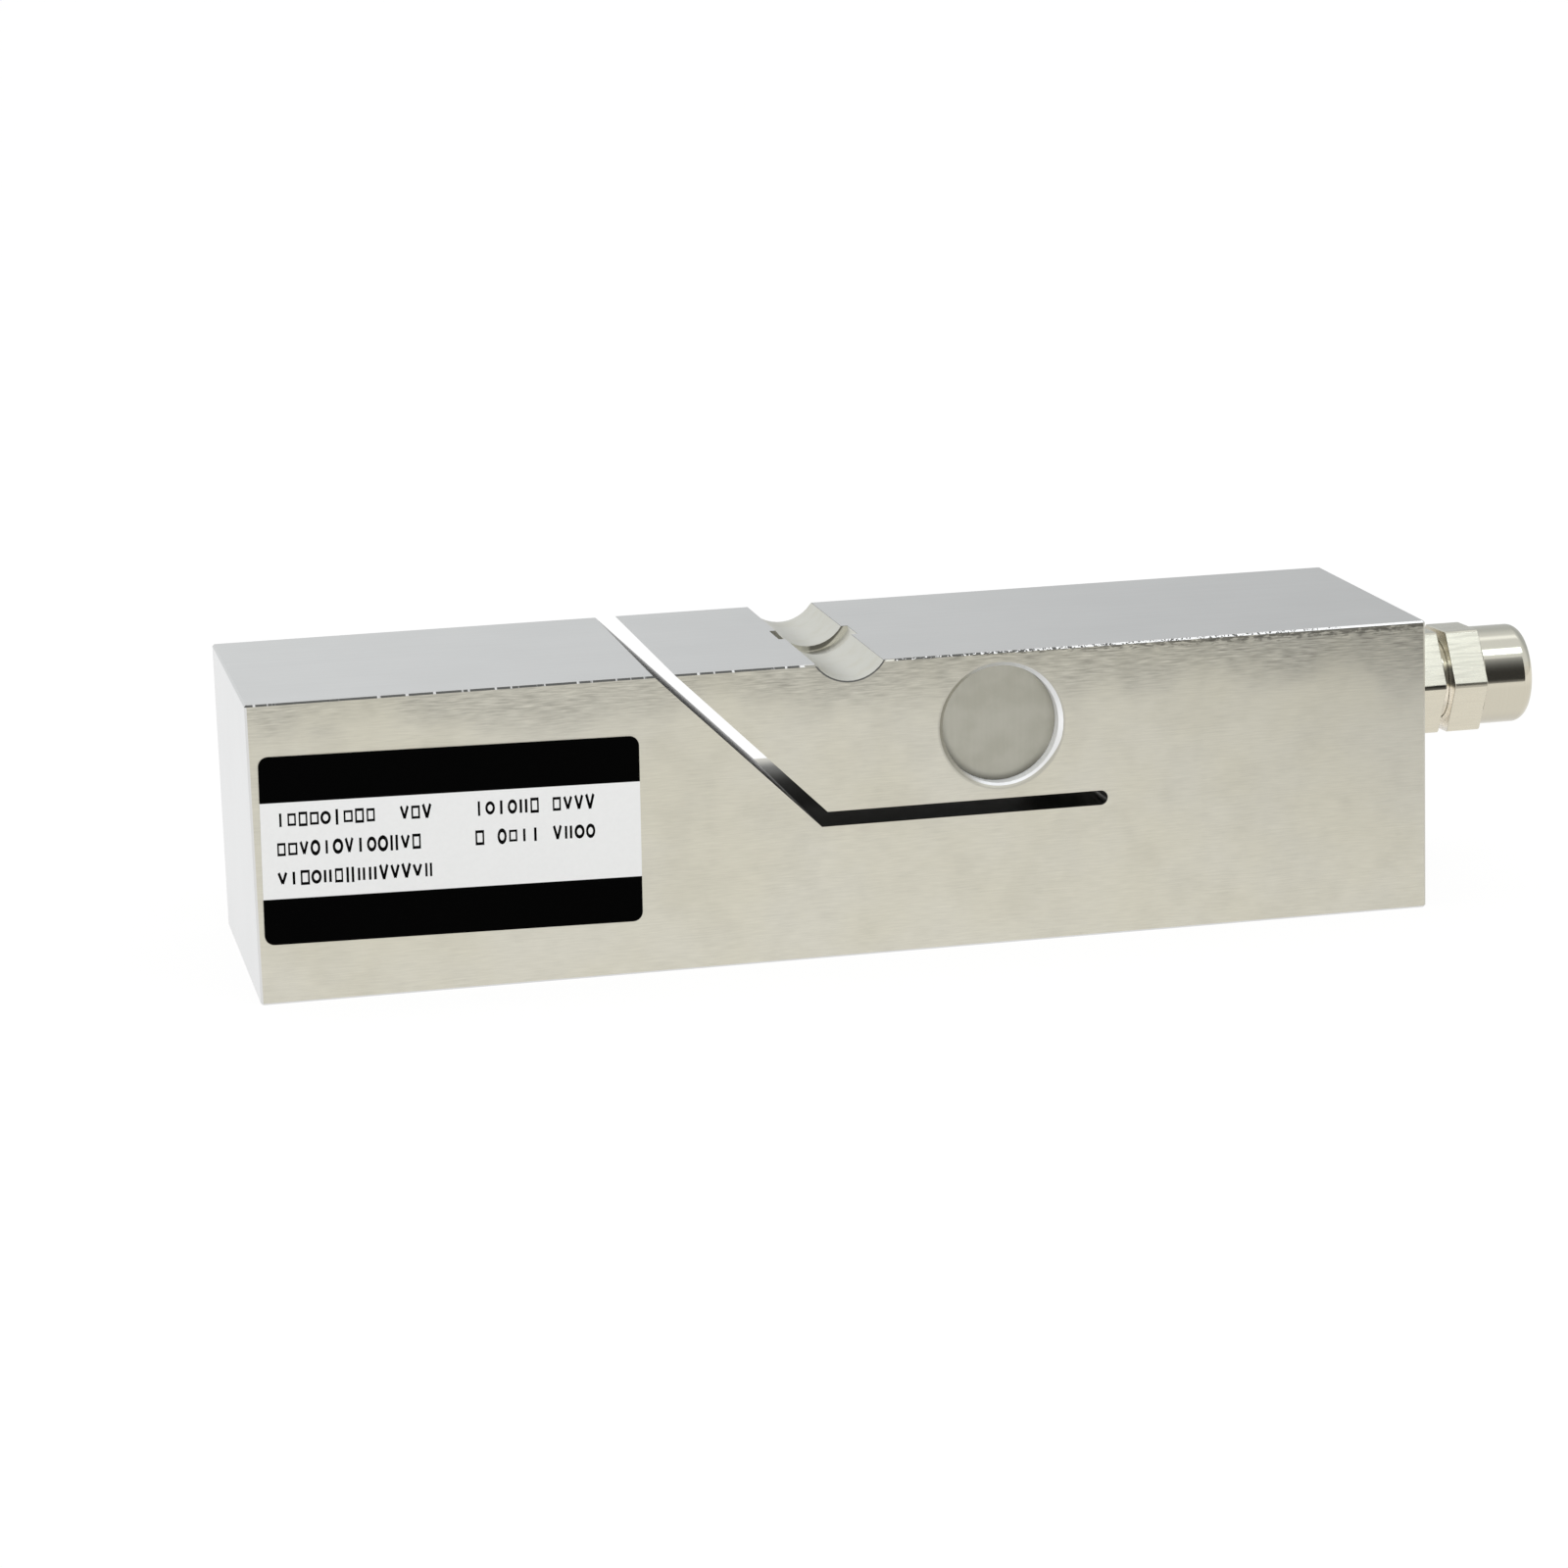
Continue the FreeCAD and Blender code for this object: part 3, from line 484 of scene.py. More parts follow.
def slit_wall(tree, look, point, facing_z, fall):
    """Colour and grazing shine in the slit: painted shade deeper in, and painted light from behind
    on its bend's floor.
    """
    x, y, _ = tree.split(point)
    in_bend = tree.both(
        tree.step(facing_z, 0.85, 0.95),
        tree.step(x, -1.0 * MM, -1.8 * MM),
        tree.step(fall, 20 * MM, 21 * MM),
        tree.step(fall, 24 * MM, 23 * MM),
    )
    # Painted light from behind on the bend's floor; painted shade on the walls deeper in
    bend_glow = tree.total(
        tree.step(y, 4 * MM, 22 * MM, 0.5, 1.5),
        tree.step(y, 16 * MM, 22.5 * MM, 0.0, 3.5),
        tree.step(y, -6 * MM, -14 * MM, 0.0, 0.5),
    )
    wall_shade = tree.step(y, -18 * MM, -4 * MM, 1.0, 0.6)
    grazing = tree.level(in_bend, 1.0, tree.math("MINIMUM", bend_glow, 1.0))
    wall = tree.tinted(look.cut, tree.level(in_bend, wall_shade, bend_glow))
    return wall, tree.tinted(WHITE, grazing)


def groove_floor(tree, look, point, beyond):
    """Colours of the load groove and of the relief across it, which has painted shade on half of it
    and painted light on the rest.
    """
    x = tree.split(point)[0]
    stain = tree.patches(point, 3 * MM, 0.45, 0.7)
    groove = tree.blend(tree.times(stain, 0.45), look.groove, look.stain)
    # Painted shade on the relief's far part and corner; the rest of it is painted lighter than the
    # groove
    shade_depth = tree.step(x, 1.8 * MM, 4.6 * MM, 0.66 * MM, 0.27 * MM)
    shaded = tree.step(tree.less(beyond, shade_depth), 0.14 * MM, -0.14 * MM)
    dusk = tree.total(
        tree.step(x, -1.4 * MM, -0.6 * MM, 0.0, 0.35),
        tree.step(x, -0.3 * MM, 0.3 * MM, 0.0, 0.65),
    )
    relief_corner_shade = tree.step(x, -3.3 * MM, -3.9 * MM, 0.0, 0.7)
    shaded = tree.math("MAXIMUM", tree.both(shaded, dusk), relief_corner_shade)
    return groove, tree.blend(shaded, tree.tinted(groove, 1.08), look.relief)


def pocket_wall(tree, look, from_pocket, pocket_distance, shaded_side):
    """Colours of a gauge pocket's turned wall, a painted sheen, and of its edge: painted highlight
    on its inner part on the gland's half, painted shade elsewhere.
    """
    across, _, rise = tree.split(from_pocket)
    # The wall is painted lighter towards its lower right
    towards = tree.along(from_pocket, (0.8, 0, -0.6))
    lit = tree.step(towards, 0.5 * POCKET_RADIUS, 0.9 * POCKET_RADIUS, 0.84, 1.0)
    wall = tree.tinted(look.wall, lit)
    edge_lit = tree.step(across, -0.75 * POCKET_RADIUS, -0.3 * POCKET_RADIUS)
    breadth = tree.step(rise, -0.1 * POCKET_RADIUS, -0.8 * POCKET_RADIUS, 0.65 * MM, 0.36 * MM)
    past_wall = tree.less(pocket_distance, POCKET_RADIUS)
    inner = tree.step(tree.less(past_wall, breadth), 0.05 * MM, -0.05 * MM)
    return wall, tree.blend(tree.both(edge_lit, inner), shaded_side, wall)


def ground_steel(look):
    """Beam: ground sides, smooth top and ends, cut slit, turned pockets and burred edges, with
    painted light and shade in the slit, the relief, the pockets and on the edges.
    """
    material, tree, point = new_material("ground_steel")
    x, y, z = tree.split(point)
    facing_x, facing_y, facing_z = [tree.math("ABSOLUTE", part) for part in tree.normal()]
    depth = tree.math("ABSOLUTE", y)
    fall = tree.less(BEAM_HIGH.z, z)

    # Where each kind of surface lies
    outer = tree.step(depth, BEAM_HIGH.y - 0.2 * MM, BEAM_HIGH.y - 0.05 * MM)
    on_side = tree.both(outer, tree.step(facing_y, 0.9, 0.98))
    on_top = tree.both(tree.step(fall, 0.5 * MM, 0.1 * MM), tree.step(facing_z, 0.9, 0.98))
    at_end = tree.step(tree.math("ABSOLUTE", x), BEAM_HIGH.x - 0.8 * MM, BEAM_HIGH.x - 0.7 * MM)
    on_end = tree.both(at_end, tree.step(facing_x, 0.5, 0.6))
    on_end_chamfer = tree.both(on_end, tree.step(facing_x, 0.95, 0.85))
    on_base = tree.step(z, 0.35 * MM, 0.3 * MM)
    near_top = tree.step(fall, 0.45 * MM, 0.35 * MM)
    near_side = tree.step(depth, BEAM_HIGH.y - 0.45 * MM, BEAM_HIGH.y - 0.35 * MM)
    on_edge = tree.both(near_top, near_side)

    beyond = tree.less(tree.from_axis(point, GROOVE_AXIS)[1], GROOVE_RADIUS)
    below = tree.step(fall, 0.02 * MM, 0.06 * MM)
    deeper = tree.step(beyond, 0.06 * MM, 0.12 * MM)
    deeper = tree.math("MAXIMUM", deeper, tree.step(facing_y, 0.4, 0.6))
    in_groove = tree.both(below, tree.step(beyond, 0.12 * MM, 0.06 * MM))
    in_relief = tree.both(below, deeper, tree.step(beyond, 1.4 * MM, 1.3 * MM))
    at_rim = tree.both(on_side, tree.step(beyond, 0.26 * MM, 0.16 * MM))

    from_pocket, pocket_distance = tree.from_axis(point, POCKET_AXIS)
    within = tree.step(pocket_distance, POCKET_RADIUS + 0.75 * MM, POCKET_RADIUS + 0.65 * MM)
    in_pocket = tree.both(within, tree.step(facing_y, 0.4, 0.3))
    slanted = tree.both(tree.step(facing_y, 0.3, 0.4), tree.step(facing_y, 0.9, 0.8))
    on_pocket_edge = tree.both(within, slanted)
    close_by = tree.step(pocket_distance, POCKET_RADIUS + 0.95 * MM, POCKET_RADIUS + 0.7 * MM)
    round_pocket = tree.both(on_side, close_by)

    # How each of them looks
    slit, grazing = slit_wall(tree, look, point, facing_z, fall)
    groove, shaded_relief = groove_floor(tree, look, point, beyond)
    # Side tone darkened as painted shade, for the shaded parts of the pocket and end edges
    shaded_side = tree.tinted(look.side, 0.85)
    wall, pocket_edge = pocket_wall(tree, look, from_pocket, pocket_distance, shaded_side)
    side, relief, side_roughness = ground_side(tree, look, point, fall)
    brushed = tree.streaks(point, (25 * MM, 0.3 * MM, 0.3 * MM), 0.2 * MM)
    smudge = tree.times(tree.patches(point, 12 * MM, 0.3, 0.75), -0.03)
    smooth = tree.total(tree.step(brushed, 0.3, 0.7, 0.985, 1.015), smudge)

    # Painted one over the other
    surface = slit
    for mask, paint in (
        (on_edge, edge_burr_and_glints(tree, look, point)),
        (in_pocket, wall),
        (on_pocket_edge, pocket_edge),
        (in_groove, groove),
        (in_relief, shaded_relief),
        (on_end, tree.tinted(look.end, smooth)),
        # The end chamfers take the top's tone at the left end and the side tone with painted shade
        # at the right end
        (on_end_chamfer, tree.blend(tree.step(x, -MM, MM), look.top, shaded_side)),
        (on_base, look.top),
        (on_top, tree.tinted(look.top, smooth)),
        (on_side, side),
        (round_pocket, tree.tinted(look.side, 0.8)),
        (at_rim, look.burr),
    ):
        surface = tree.blend(mask, surface, paint)
    roughness = tree.level(on_side, look.top_roughness, side_roughness)
    looks = {
        "Base Color": surface,
        "Specular Tint": grazing,
        "Roughness": tree.level(in_pocket, roughness, 0.6),
        "Metallic": tree.level(in_pocket, 1.0, 0.12),
        "Normal": tree.bump(tree.both(on_side, relief), 0.012 * MM, 0.6),
    }
    return dressed(material, looks)


def satin_disc(look):
    """Cover: satin sheet with faint upright lines, cloudy spots and painted shade along its lower
    rim.
    """
    material, tree, point = new_material("satin_disc")
    lines = tree.streaks(point, (0.45 * MM, 1.0, 9 * MM), 0.4 * MM)
    spots = tree.patches(point, 4 * MM, 0.35, 0.7)
    offset, distance = tree.from_axis(point, POCKET_AXIS)
    # Painted shade along the lower left rim, beside the pocket wall
    rim = tree.step(distance, POCKET_RADIUS - 1.1 * MM, POCKET_RADIUS)
    lowness = tree.along(offset, (-0.35, 0, -0.94))
    rim_shade = tree.both(rim, tree.step(lowness, 0.0, 0.7 * POCKET_RADIUS))
    factor = tree.dimmed(tree.step(lines, 0.3, 0.7, 0.995, 1.005), rim_shade, 0.5)
    cloudy = tree.blend(spots, look.disc, look.disc_cloud)
    looks = {
        "Base Color": tree.tinted(cloudy, factor),
        "Roughness": tree.step(lines, 0.3, 0.7, 0.48, 0.45),
        "Metallic": 1.0,
        "Normal": tree.bump(lines, 0.002 * MM, 0.15),
    }
    return dressed(material, looks)


def bright_nickel(look):
    """Gland: bright plate, brushed along the hexagons and with turned rings on collar and neck."""
    material, tree, point = new_material("bright_nickel")
    x, _, z = tree.split(point)
    drawn = tree.streaks(point, (4.5 * MM, 0.4 * MM, 0.4 * MM), 0.1 * MM)
    rings = tree.streaks(point, (0.12 * MM, 1.0, 1.0))
    past_nut = tree.less(x, NUT_LOW.x)
    height = tree.less(z, GLAND_AXIS.z)
    normal_x, normal_y, normal_z = tree.normal()
    facing_x, facing_y = [tree.math("ABSOLUTE", part) for part in (normal_x, normal_y)]

    # Hexagons are brushed, collar and neck are turned
    on_collar = tree.step(past_nut, look.hex_reach - 0.05 * MM, look.hex_reach + 0.02 * MM)
    before_nut = tree.step(past_nut, 0.0, -0.05 * MM)
    on_neck = tree.both(before_nut, tree.step(past_nut, -1.2 * MM, -1.15 * MM))
    turned = tree.math("MAXIMUM", on_collar, on_neck)
    upper = tree.step(normal_z, 0.2, 0.4)
    flaw_low, flaw_high = tree.level(upper, 0.98, 0.86), tree.level(upper, 1.01, 1.03)
    flaw = tree.step(drawn, 0.3, 0.6, flaw_low, flaw_high)
    factor = tree.level(turned, flaw, tree.step(rings, 0.3, 0.7, 0.96, 1.02))

    # The gap before the nut has painted shade on its walls above its middle and painted light below
    # it
    in_gap = tree.both(
        tree.step(past_nut, 0.05 * MM, 0.02 * MM), tree.step(past_nut, -1.25 * MM, -1.22 * MM)
    )
    gap_shade = tree.both(tree.step(height, -0.2 * MM, 0.3 * MM), tree.step(height, 3.4 * MM, 2.2 * MM))
    on_wall = tree.both(in_gap, tree.step(facing_x, 0.5, 0.9))
    factor = tree.dimmed(factor, tree.both(on_wall, gap_shade), 0.12)
    lit_gap_wall = tree.both(in_gap, tree.step(height, 0.0, -0.4 * MM))

    # Painted shade on the corners, most of all on the body, and on the underside of the collar
    on_corner = tree.both(tree.step(facing_y, 0.9, 0.96), tree.step(turned, 0.6, 0.4))
    gland_corner_shade = tree.step(past_nut, -1.3 * MM, -1.1 * MM, 0.12, 0.6)
    factor = tree.dimmed(factor, on_corner, gland_corner_shade)
    underside = tree.both(on_collar, tree.step(height, 0.3 * MM, -1.0 * MM))
    underside_shade = tree.step(height, -4.0 * MM, -6.6 * MM, 0.91, 0.72)
    factor = tree.dimmed(factor, underside, underside_shade)

    # Painted reflection: facets facing the floor take the warmer floor tone
    plate = tree.blend(upper, look.nickel_floor_reflection, look.nickel)
    plate = tree.blend(lit_gap_wall, plate, look.gap_lit_nickel)
    rough = look.brushed_roughness
    brushed = tree.step(drawn, 0.3, 0.7, rough + 0.04, rough - 0.04)
    looks = {
        "Base Color": tree.tinted(plate, factor),
        "Roughness": tree.level(turned, brushed, look.turned_roughness),
        "Metallic": 1.0,
        "Normal": tree.bump(tree.level(turned, drawn, rings), 0.004 * MM, 0.06),
    }
    return dressed(material, looks)


def moulded(name, base, roughness, grain):
    """Rubber or plastic with a moulded grain."""
    material, tree, point = new_material(name)
    pores = tree.patches(point, grain)
    pale = tuple(min(1.0, 1.5 * part + 0.01) for part in base)
    looks = {
        "Base Color": tree.blend(pores, base, pale),
        "Roughness": tree.step(pores, 0.0, 1.0, roughness + 0.08, roughness - 0.08),
        "Normal": tree.bump(pores, 0.01 * MM, 0.4),
    }
    return dressed(material, looks)


def printed_film(look):
    """Label: pale film with an ink band above and below the field."""
    material, tree, point = new_material("printed_film")
    centred = tree.node(
        "ShaderNodeMapping",
        {"Vector": point, "Location": LABEL_CENTRE, "Rotation": (0, look.tilt, 0)},
        vector_type="TEXTURE",
    ).outputs[0]
    height = tree.math("ABSOLUTE", tree.split(centred)[2])
    band = tree.step(height, look.field / 2 - 0.03 * MM, look.field / 2 + 0.03 * MM)
    weave = tree.patches(point, 0.5 * MM)
    film = tree.blend(weave, look.film, tuple(0.985 * part for part in look.film))
    looks = {
        "Base Color": tree.blend(band, film, look.ink),
        "Roughness": tree.level(band, tree.step(weave, 0.0, 1.0, 0.4, 0.46), 0.34),
        "Specular IOR Level": 0.01,
        "Normal": tree.bump(weave, 0.002 * MM, 0.4),
    }
    return dressed(material, looks)


def plain_ink(look):
    """Marks of the label: the same ink with a slight unevenness."""
    material, tree, point = new_material("label_ink")
    patch = tree.patches(point, 0.4 * MM)
    looks = {
        "Base Color": tree.blend(patch, look.ink, (0.004, 0.004, 0.0045)),
        "Roughness": tree.step(patch, 0.0, 1.0, 0.4, 0.5),
        "Specular IOR Level": 0.01,
    }
    return dressed(material, looks)


def layered(name, under, over, height, under_roughness, over_metallic):
    """Backing with a layer that stands higher than a height above the web's face."""
    material, tree, point = new_material(name)
    depth = tree.math("ABSOLUTE", tree.split(point)[1])
    raised = tree.step(depth, height - 0.01 * MM, height + 0.01 * MM)
    cloud = tree.patches(point, 0.6 * MM)
    deep = tuple(0.8 * part for part in under)
    over_roughness = tree.step(cloud, 0.0, 1.0, 0.25, 0.4)
    looks = {
        "Base Color": tree.blend(raised, tree.blend(cloud, under, deep), over),
        "Roughness": tree.level(raised, under_roughness, over_roughness),
        "Metallic": tree.times(raised, over_metallic),
        "Normal": tree.bump(cloud, 0.004 * MM, 0.4),
    }
    return dressed(material, looks)


def drawn_metal(name, base, roughness, size):
    """Thin drawn metal, such as ribbon and wire, with fine lines."""
    material, tree, point = new_material(name)
    lines = tree.streaks(point, size, 0.05 * MM)
    dark = tuple(0.75 * part for part in base)
    looks = {
        "Base Color": tree.blend(tree.step(lines, 0.3, 0.7), dark, base),
        "Roughness": tree.step(lines, 0.3, 0.7, roughness + 0.08, roughness - 0.05),
        "Metallic": 1.0,
        "Normal": tree.bump(lines, 0.003 * MM, 0.4),
    }
    return dressed(material, looks)


def new_object(name, mesh):
    """Object at the origin that shows a mesh."""
    piece = bpy.data.objects.new(name, mesh)
    bpy.context.scene.collection.objects.link(piece)
    return piece


def made_mesh(name, working):
    """Mesh made from a working mesh, which is used up."""
    mesh = bpy.data.meshes.new(name)
    working.to_mesh(mesh)
    working.free()
    return mesh


def add_piece(name, mesh):
    """Piece of the part that rides on its body; its mesh brings its finish."""
    piece = new_object(name, mesh)
    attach(piece, BODY)
    return piece


def evaluated_mesh(holder):
    """Plain mesh that an object's modifiers make; the object is removed."""
    graph = bpy.context.evaluated_depsgraph_get()
    mesh = bpy.data.meshes.new_from_object(holder.evaluated_get(graph))
    bpy.data.objects.remove(holder)
    return mesh


def softened_copy(name, edge_round):
    """Mesh of a node with joined triangles, slightly rounded edges and smooth round walls."""
    mesh = bmesh.new()
    mesh.from_mesh(frame["nodes"][name].data)
    bmesh.ops.remove_doubles(mesh, verts=mesh.verts, dist=WELD_DISTANCE)
    bmesh.ops.dissolve_limit(
        mesh, angle_limit=PLANE_ANGLE, verts=mesh.verts, edges=mesh.edges, delimit={"NORMAL"}
    )
    joined = [edge for edge in mesh.edges if edge.is_manifold]
    sharp = [edge for edge in joined if edge.calc_face_angle() > EDGE_ANGLE]
    bmesh.ops.bevel(
        mesh,
        geom=sharp,
        offset=edge_round,
        offset_type="OFFSET",
        segments=2,
        profile=0.5,
        affect="EDGES",
        clamp_overlap=True,
        harden_normals=False,
    )
    copy = made_mesh(f"{name}_softened", mesh)
    copy.shade_smooth()
    copy.set_sharp_from_angle(angle=CREASE_ANGLE)
    holder = new_object(f"{name}_softening", copy)
    holder.modifiers.new("flat_facets", "WEIGHTED_NORMAL").keep_sharp = True
    return evaluated_mesh(holder)


def end_tree(tree, geometry, material, end):
    """Ends a geometry tree with real meshes and their finish."""
    solid = tree.node("GeometryNodeRealizeInstances", {"Geometry": geometry}).outputs[0]
    coated = tree.node("GeometryNodeSetMaterial", {"Geometry": solid, "Material": material})
    tree.feed(end, {"Geometry": coated.outputs[0]})


def grown_mesh(name, group, values):
    """Plain mesh that a geometry tree makes with the given input values."""
    holder = new_object(name, bpy.data.meshes.new(f"{name}_seed"))
    modifier = holder.modifiers.new(group.name, "NODES")
    modifier.node_group = group
    for item in group.interface.items_tree:
        if item.in_out == "INPUT" and item.name in values:
            modifier[item.identifier] = values[item.name]
    mesh = evaluated_mesh(holder)
    mesh.name = name
    return mesh


def mark_shapes(tree, stroke):
    """Ring, bar, square, chevron and pair of bars of unit size, to pick from."""

    def straight(start, end):
        ends = {"Start": (*start, 0), "End": (*end, 0)}
        return tree.node("GeometryNodeCurvePrimitiveLine", ends).outputs[0]

    def oblong(width, height):
        sides = {"Width": width, "Height": height}
        return tree.node("GeometryNodeCurvePrimitiveQuadrilateral", sides).outputs[0]

    pen = oblong(stroke, stroke)
    round_outline = {"Resolution": 16, "Radius": 0.42}
    ring = tree.node("GeometryNodeCurvePrimitiveCircle", round_outline).outputs[0]
    square = oblong(0.76, 0.8)
    bar = straight((0, -0.5), (0, 0.5))
    pair = (straight((-0.28, -0.5), (-0.28, 0.5)), straight((0.28, -0.5), (0.28, 0.5)))
    chevron = (straight((-0.4, 0.5), (0, -0.42)), straight((0.4, 0.5), (0, -0.42)))
    drawings = ((ring,), (bar,), (square,), chevron, pair)
    shapes = tree.node("GeometryNodeGeometryToInstance")
    for lines in drawings:
        joined = tree.node("GeometryNodeJoinGeometry")
        for line in lines:
            stroked = tree.node(
                "GeometryNodeCurveToMesh", {"Curve": line, "Profile Curve": pen, "Fill Caps": True}
            )
            tree.feed(joined, {0: stroked.outputs[0]})
        tree.feed(shapes, {0: joined.outputs[0]})
    return shapes.outputs[0], len(drawings)


def mark_tree(material):
    """Rows of small ink shapes on a grid, with gaps between groups."""
    sockets = {
        "Columns": 10,
        "Rows": 3,
        "Pitch": 1.5 * MM,
        "Row Pitch": 3.7 * MM,
        "Height": 1.5 * MM,
        "Depth": 0.01 * MM,
        "Stroke": 0.27,
        "Seed": 0,
    }
    group, tree, start, end = node_group("label_marks", "Geometry", sockets, "Geometry")
    wide = tree.times(start["Pitch"], tree.less(start["Columns"], 1.0))
    tall = tree.times(start["Row Pitch"], tree.less(start["Rows"], 1.0))
    sides = {"Size X": wide, "Size Y": tall}
    counts = {"Vertices X": start["Columns"], "Vertices Y": start["Rows"]}
    grid = tree.node("GeometryNodeMeshGrid", sides | counts)
    column, row, _ = tree.split(tree.node("GeometryNodeInputPosition").outputs[0])
    half_pitch = tree.times(start["Row Pitch"], 0.5)
    row_number = tree.math("ROUND", tree.math("DIVIDE", row, half_pitch))
    cuts = {"Min": 0.0, "Max": 0.25, "ID": row_number, "Seed": start["Seed"]}
    row_end = tree.times(wide, tree.less(0.51, tree.draw("FLOAT", cuts)))
    past_end = tree.math("GREATER_THAN", column, row_end)
    gap = tree.draw("BOOLEAN", {"Probability": 0.06, "Seed": start["Seed"]})
    bare = {"Geometry": grid.outputs["Mesh"], "Selection": tree.math("MAXIMUM", past_end, gap)}
    kept = tree.node("GeometryNodeDeleteGeometry", bare)
    shapes, count = mark_shapes(tree, start["Stroke"])
    pick = tree.draw("INT", {4: 0, 5: count - 1, "Seed": tree.total(start["Seed"], 1.0)})
    sizes = {"Min": (0.74, 0.76, 0.0), "Max": (0.86, 1.0, 0.0)}
    ragged = tree.draw("FLOAT_VECTOR", sizes | {"Seed": tree.total(start["Seed"], 2.0)})
    face = tree.node("ShaderNodeCombineXYZ", {0: start["Pitch"], 1: start["Height"]})
    spread = tree.vector("MULTIPLY", ragged, face.outputs[0])
    depth_scale = tree.math("DIVIDE", start["Depth"], start["Stroke"])
    thick = tree.node("ShaderNodeCombineXYZ", {2: depth_scale})
    marks = tree.node(
        "GeometryNodeInstanceOnPoints",
        {
            "Points": kept.outputs[0],
            "Instance": shapes,
            "Pick Instance": True,
            "Instance Index": pick,
            "Scale": tree.vector("ADD", spread, thick.outputs[0]),
        },
    )
    end_tree(tree, marks.outputs[0], material, end)
    return group


def winding_tree(material):
    """Close coil of wire about the upright axis."""
    sockets = {
        "Turns": 20.0,
        "Coil Radius": 0.8 * MM,
        "Wire Radius": 0.06 * MM,
        "Length": 3 * MM,
    }
    group, tree, start, end = node_group("trim_winding", "Geometry", sockets, "Geometry")
    spiral = tree.node(
        "GeometryNodeCurveSpiral",
        {
            "Resolution": 24,
            "Rotations": start["Turns"],
            "Start Radius": start["Coil Radius"],
            "End Radius": start["Coil Radius"],
            "Height": start["Length"],
        },
    )
    section = tree.node(
        "GeometryNodeCurvePrimitiveCircle", {"Resolution": 6, "Radius": start["Wire Radius"]}
    )
    wire = tree.node(
        "GeometryNodeCurveToMesh",
        {"Curve": spiral.outputs[0], "Profile Curve": section.outputs[0], "Fill Caps": True},
    )
    end_tree(tree, wire.outputs[0], material, end)
    return group


class LOADCELL_OT_beam(bpy.types.Operator):
    """Finish the beam and its two pocket covers"""

    bl_idname = "load_cell.beam"
    bl_label = "Finish beam"

    def execute(self, context):
        look = context.scene.beam_look
        finish(ground_steel(look), "beam_body")
        finish(satin_disc(look), "front_gauge_cover", "rear_gauge_cover")
        return {"FINISHED"}


class LOADCELL_OT_gland(bpy.types.Operator):
    """Finish the gland, with softened edges on its hexagons"""

    bl_idname = "load_cell.gland"
    bl_label = "Finish gland"

    def execute(self, context):
        look = context.scene.gland_look
        nickel = bright_nickel(look)
        for name in ("gland_body", "gland_nut"):
            mesh = softened_copy(name, look.edge_round)
            mesh.materials.clear()
            mesh.materials.append(nickel)
            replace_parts(add_piece(f"{name}_bright", mesh), name)
        rubber = moulded("seal_rubber", look.rubber, 0.6, 0.5 * MM)
        finish(rubber, "gland_gasket", "gland_seal_bush")
        plastic = moulded("cage_plastic", look.plastic, 0.45, 0.35 * MM)
        finish(plastic, "gland_clamp_cage")
        return {"FINISHED"}


class LOADCELL_OT_label(bpy.types.Operator):
    """Print the label: bands on its film and rows of plain marks in its field"""

    bl_idname = "load_cell.label"
    bl_label = "Print label"

    def execute(self, context):
        look = context.scene.label_look
        finish(printed_film(look), "rating_label")
        group = mark_tree(plain_ink(look))
        upright = Matrix.Rotation(math.radians(90), 4, "X")
        lean = Matrix.Rotation(look.tilt, 4, "Y")
        face = Vector((LABEL_CENTRE.x, LABEL_LOW.y, LABEL_CENTRE.z))
        for name, columns, rows, (across, up) in MARK_FIELDS:
            values = {
                "Columns": columns,
                "Rows": rows,
                "Pitch": look.mark_pitch,
                "Row Pitch": look.row_pitch,
                "Height": look.mark_height,
                "Depth": look.ink_depth,
                "Seed": look.seed + columns,
            }
            mesh = grown_mesh(name, group, values)
            place = Matrix.Translation((across, 0, up))
            mesh.transform(Matrix.Translation(face) @ lean @ place @ upright)
            add_piece(name, mesh)
        return {"FINISHED"}


class LOADCELL_OT_gauges(bpy.types.Operator):
    """Finish the gauges, boards, leads and resistors in the pockets"""

    bl_idname = "load_cell.gauges"
    bl_label = "Finish gauge parts"

    def execute(self, context):
        look = context.scene.gauge_look
        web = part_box("front_strain_gauge")[1].y
        foil = -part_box("front_strain_gauge")[0].y - TOP_LAYER
        pads = -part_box("front_terminal_board")[0].y - TOP_LAYER
        film = layered("gauge_film", look.film, look.foil, foil, 0.3, 1.0)
        finish(film, "front_strain_gauge", "rear_strain_gauge")
        board = layered("terminal_board", look.board, look.solder, pads, 0.5, 1.0)
        finish(board, "front_terminal_board", "rear_terminal_board")
        ribbon = drawn_metal("lead_ribbon", look.copper, 0.3, (0.1 * MM, 1 * MM, 1 * MM))
        finish(ribbon, "front_gauge_leads", "rear_gauge_leads", "bridge_link_leads")
        resistor_foil = RESISTOR_FOIL_HEIGHT - web
        sheet = layered("foil_resistor", look.film, look.foil, resistor_foil, 0.35, 0.6)
        finish(sheet, "span_temperature_resistor", "zero_temperature_resistor")
        plastic = moulded("bobbin_plastic", look.bobbin, 0.5, 0.3 * MM)
        finish(plastic, "span_trim_resistor", "zero_trim_resistor")
        return {"FINISHED"}


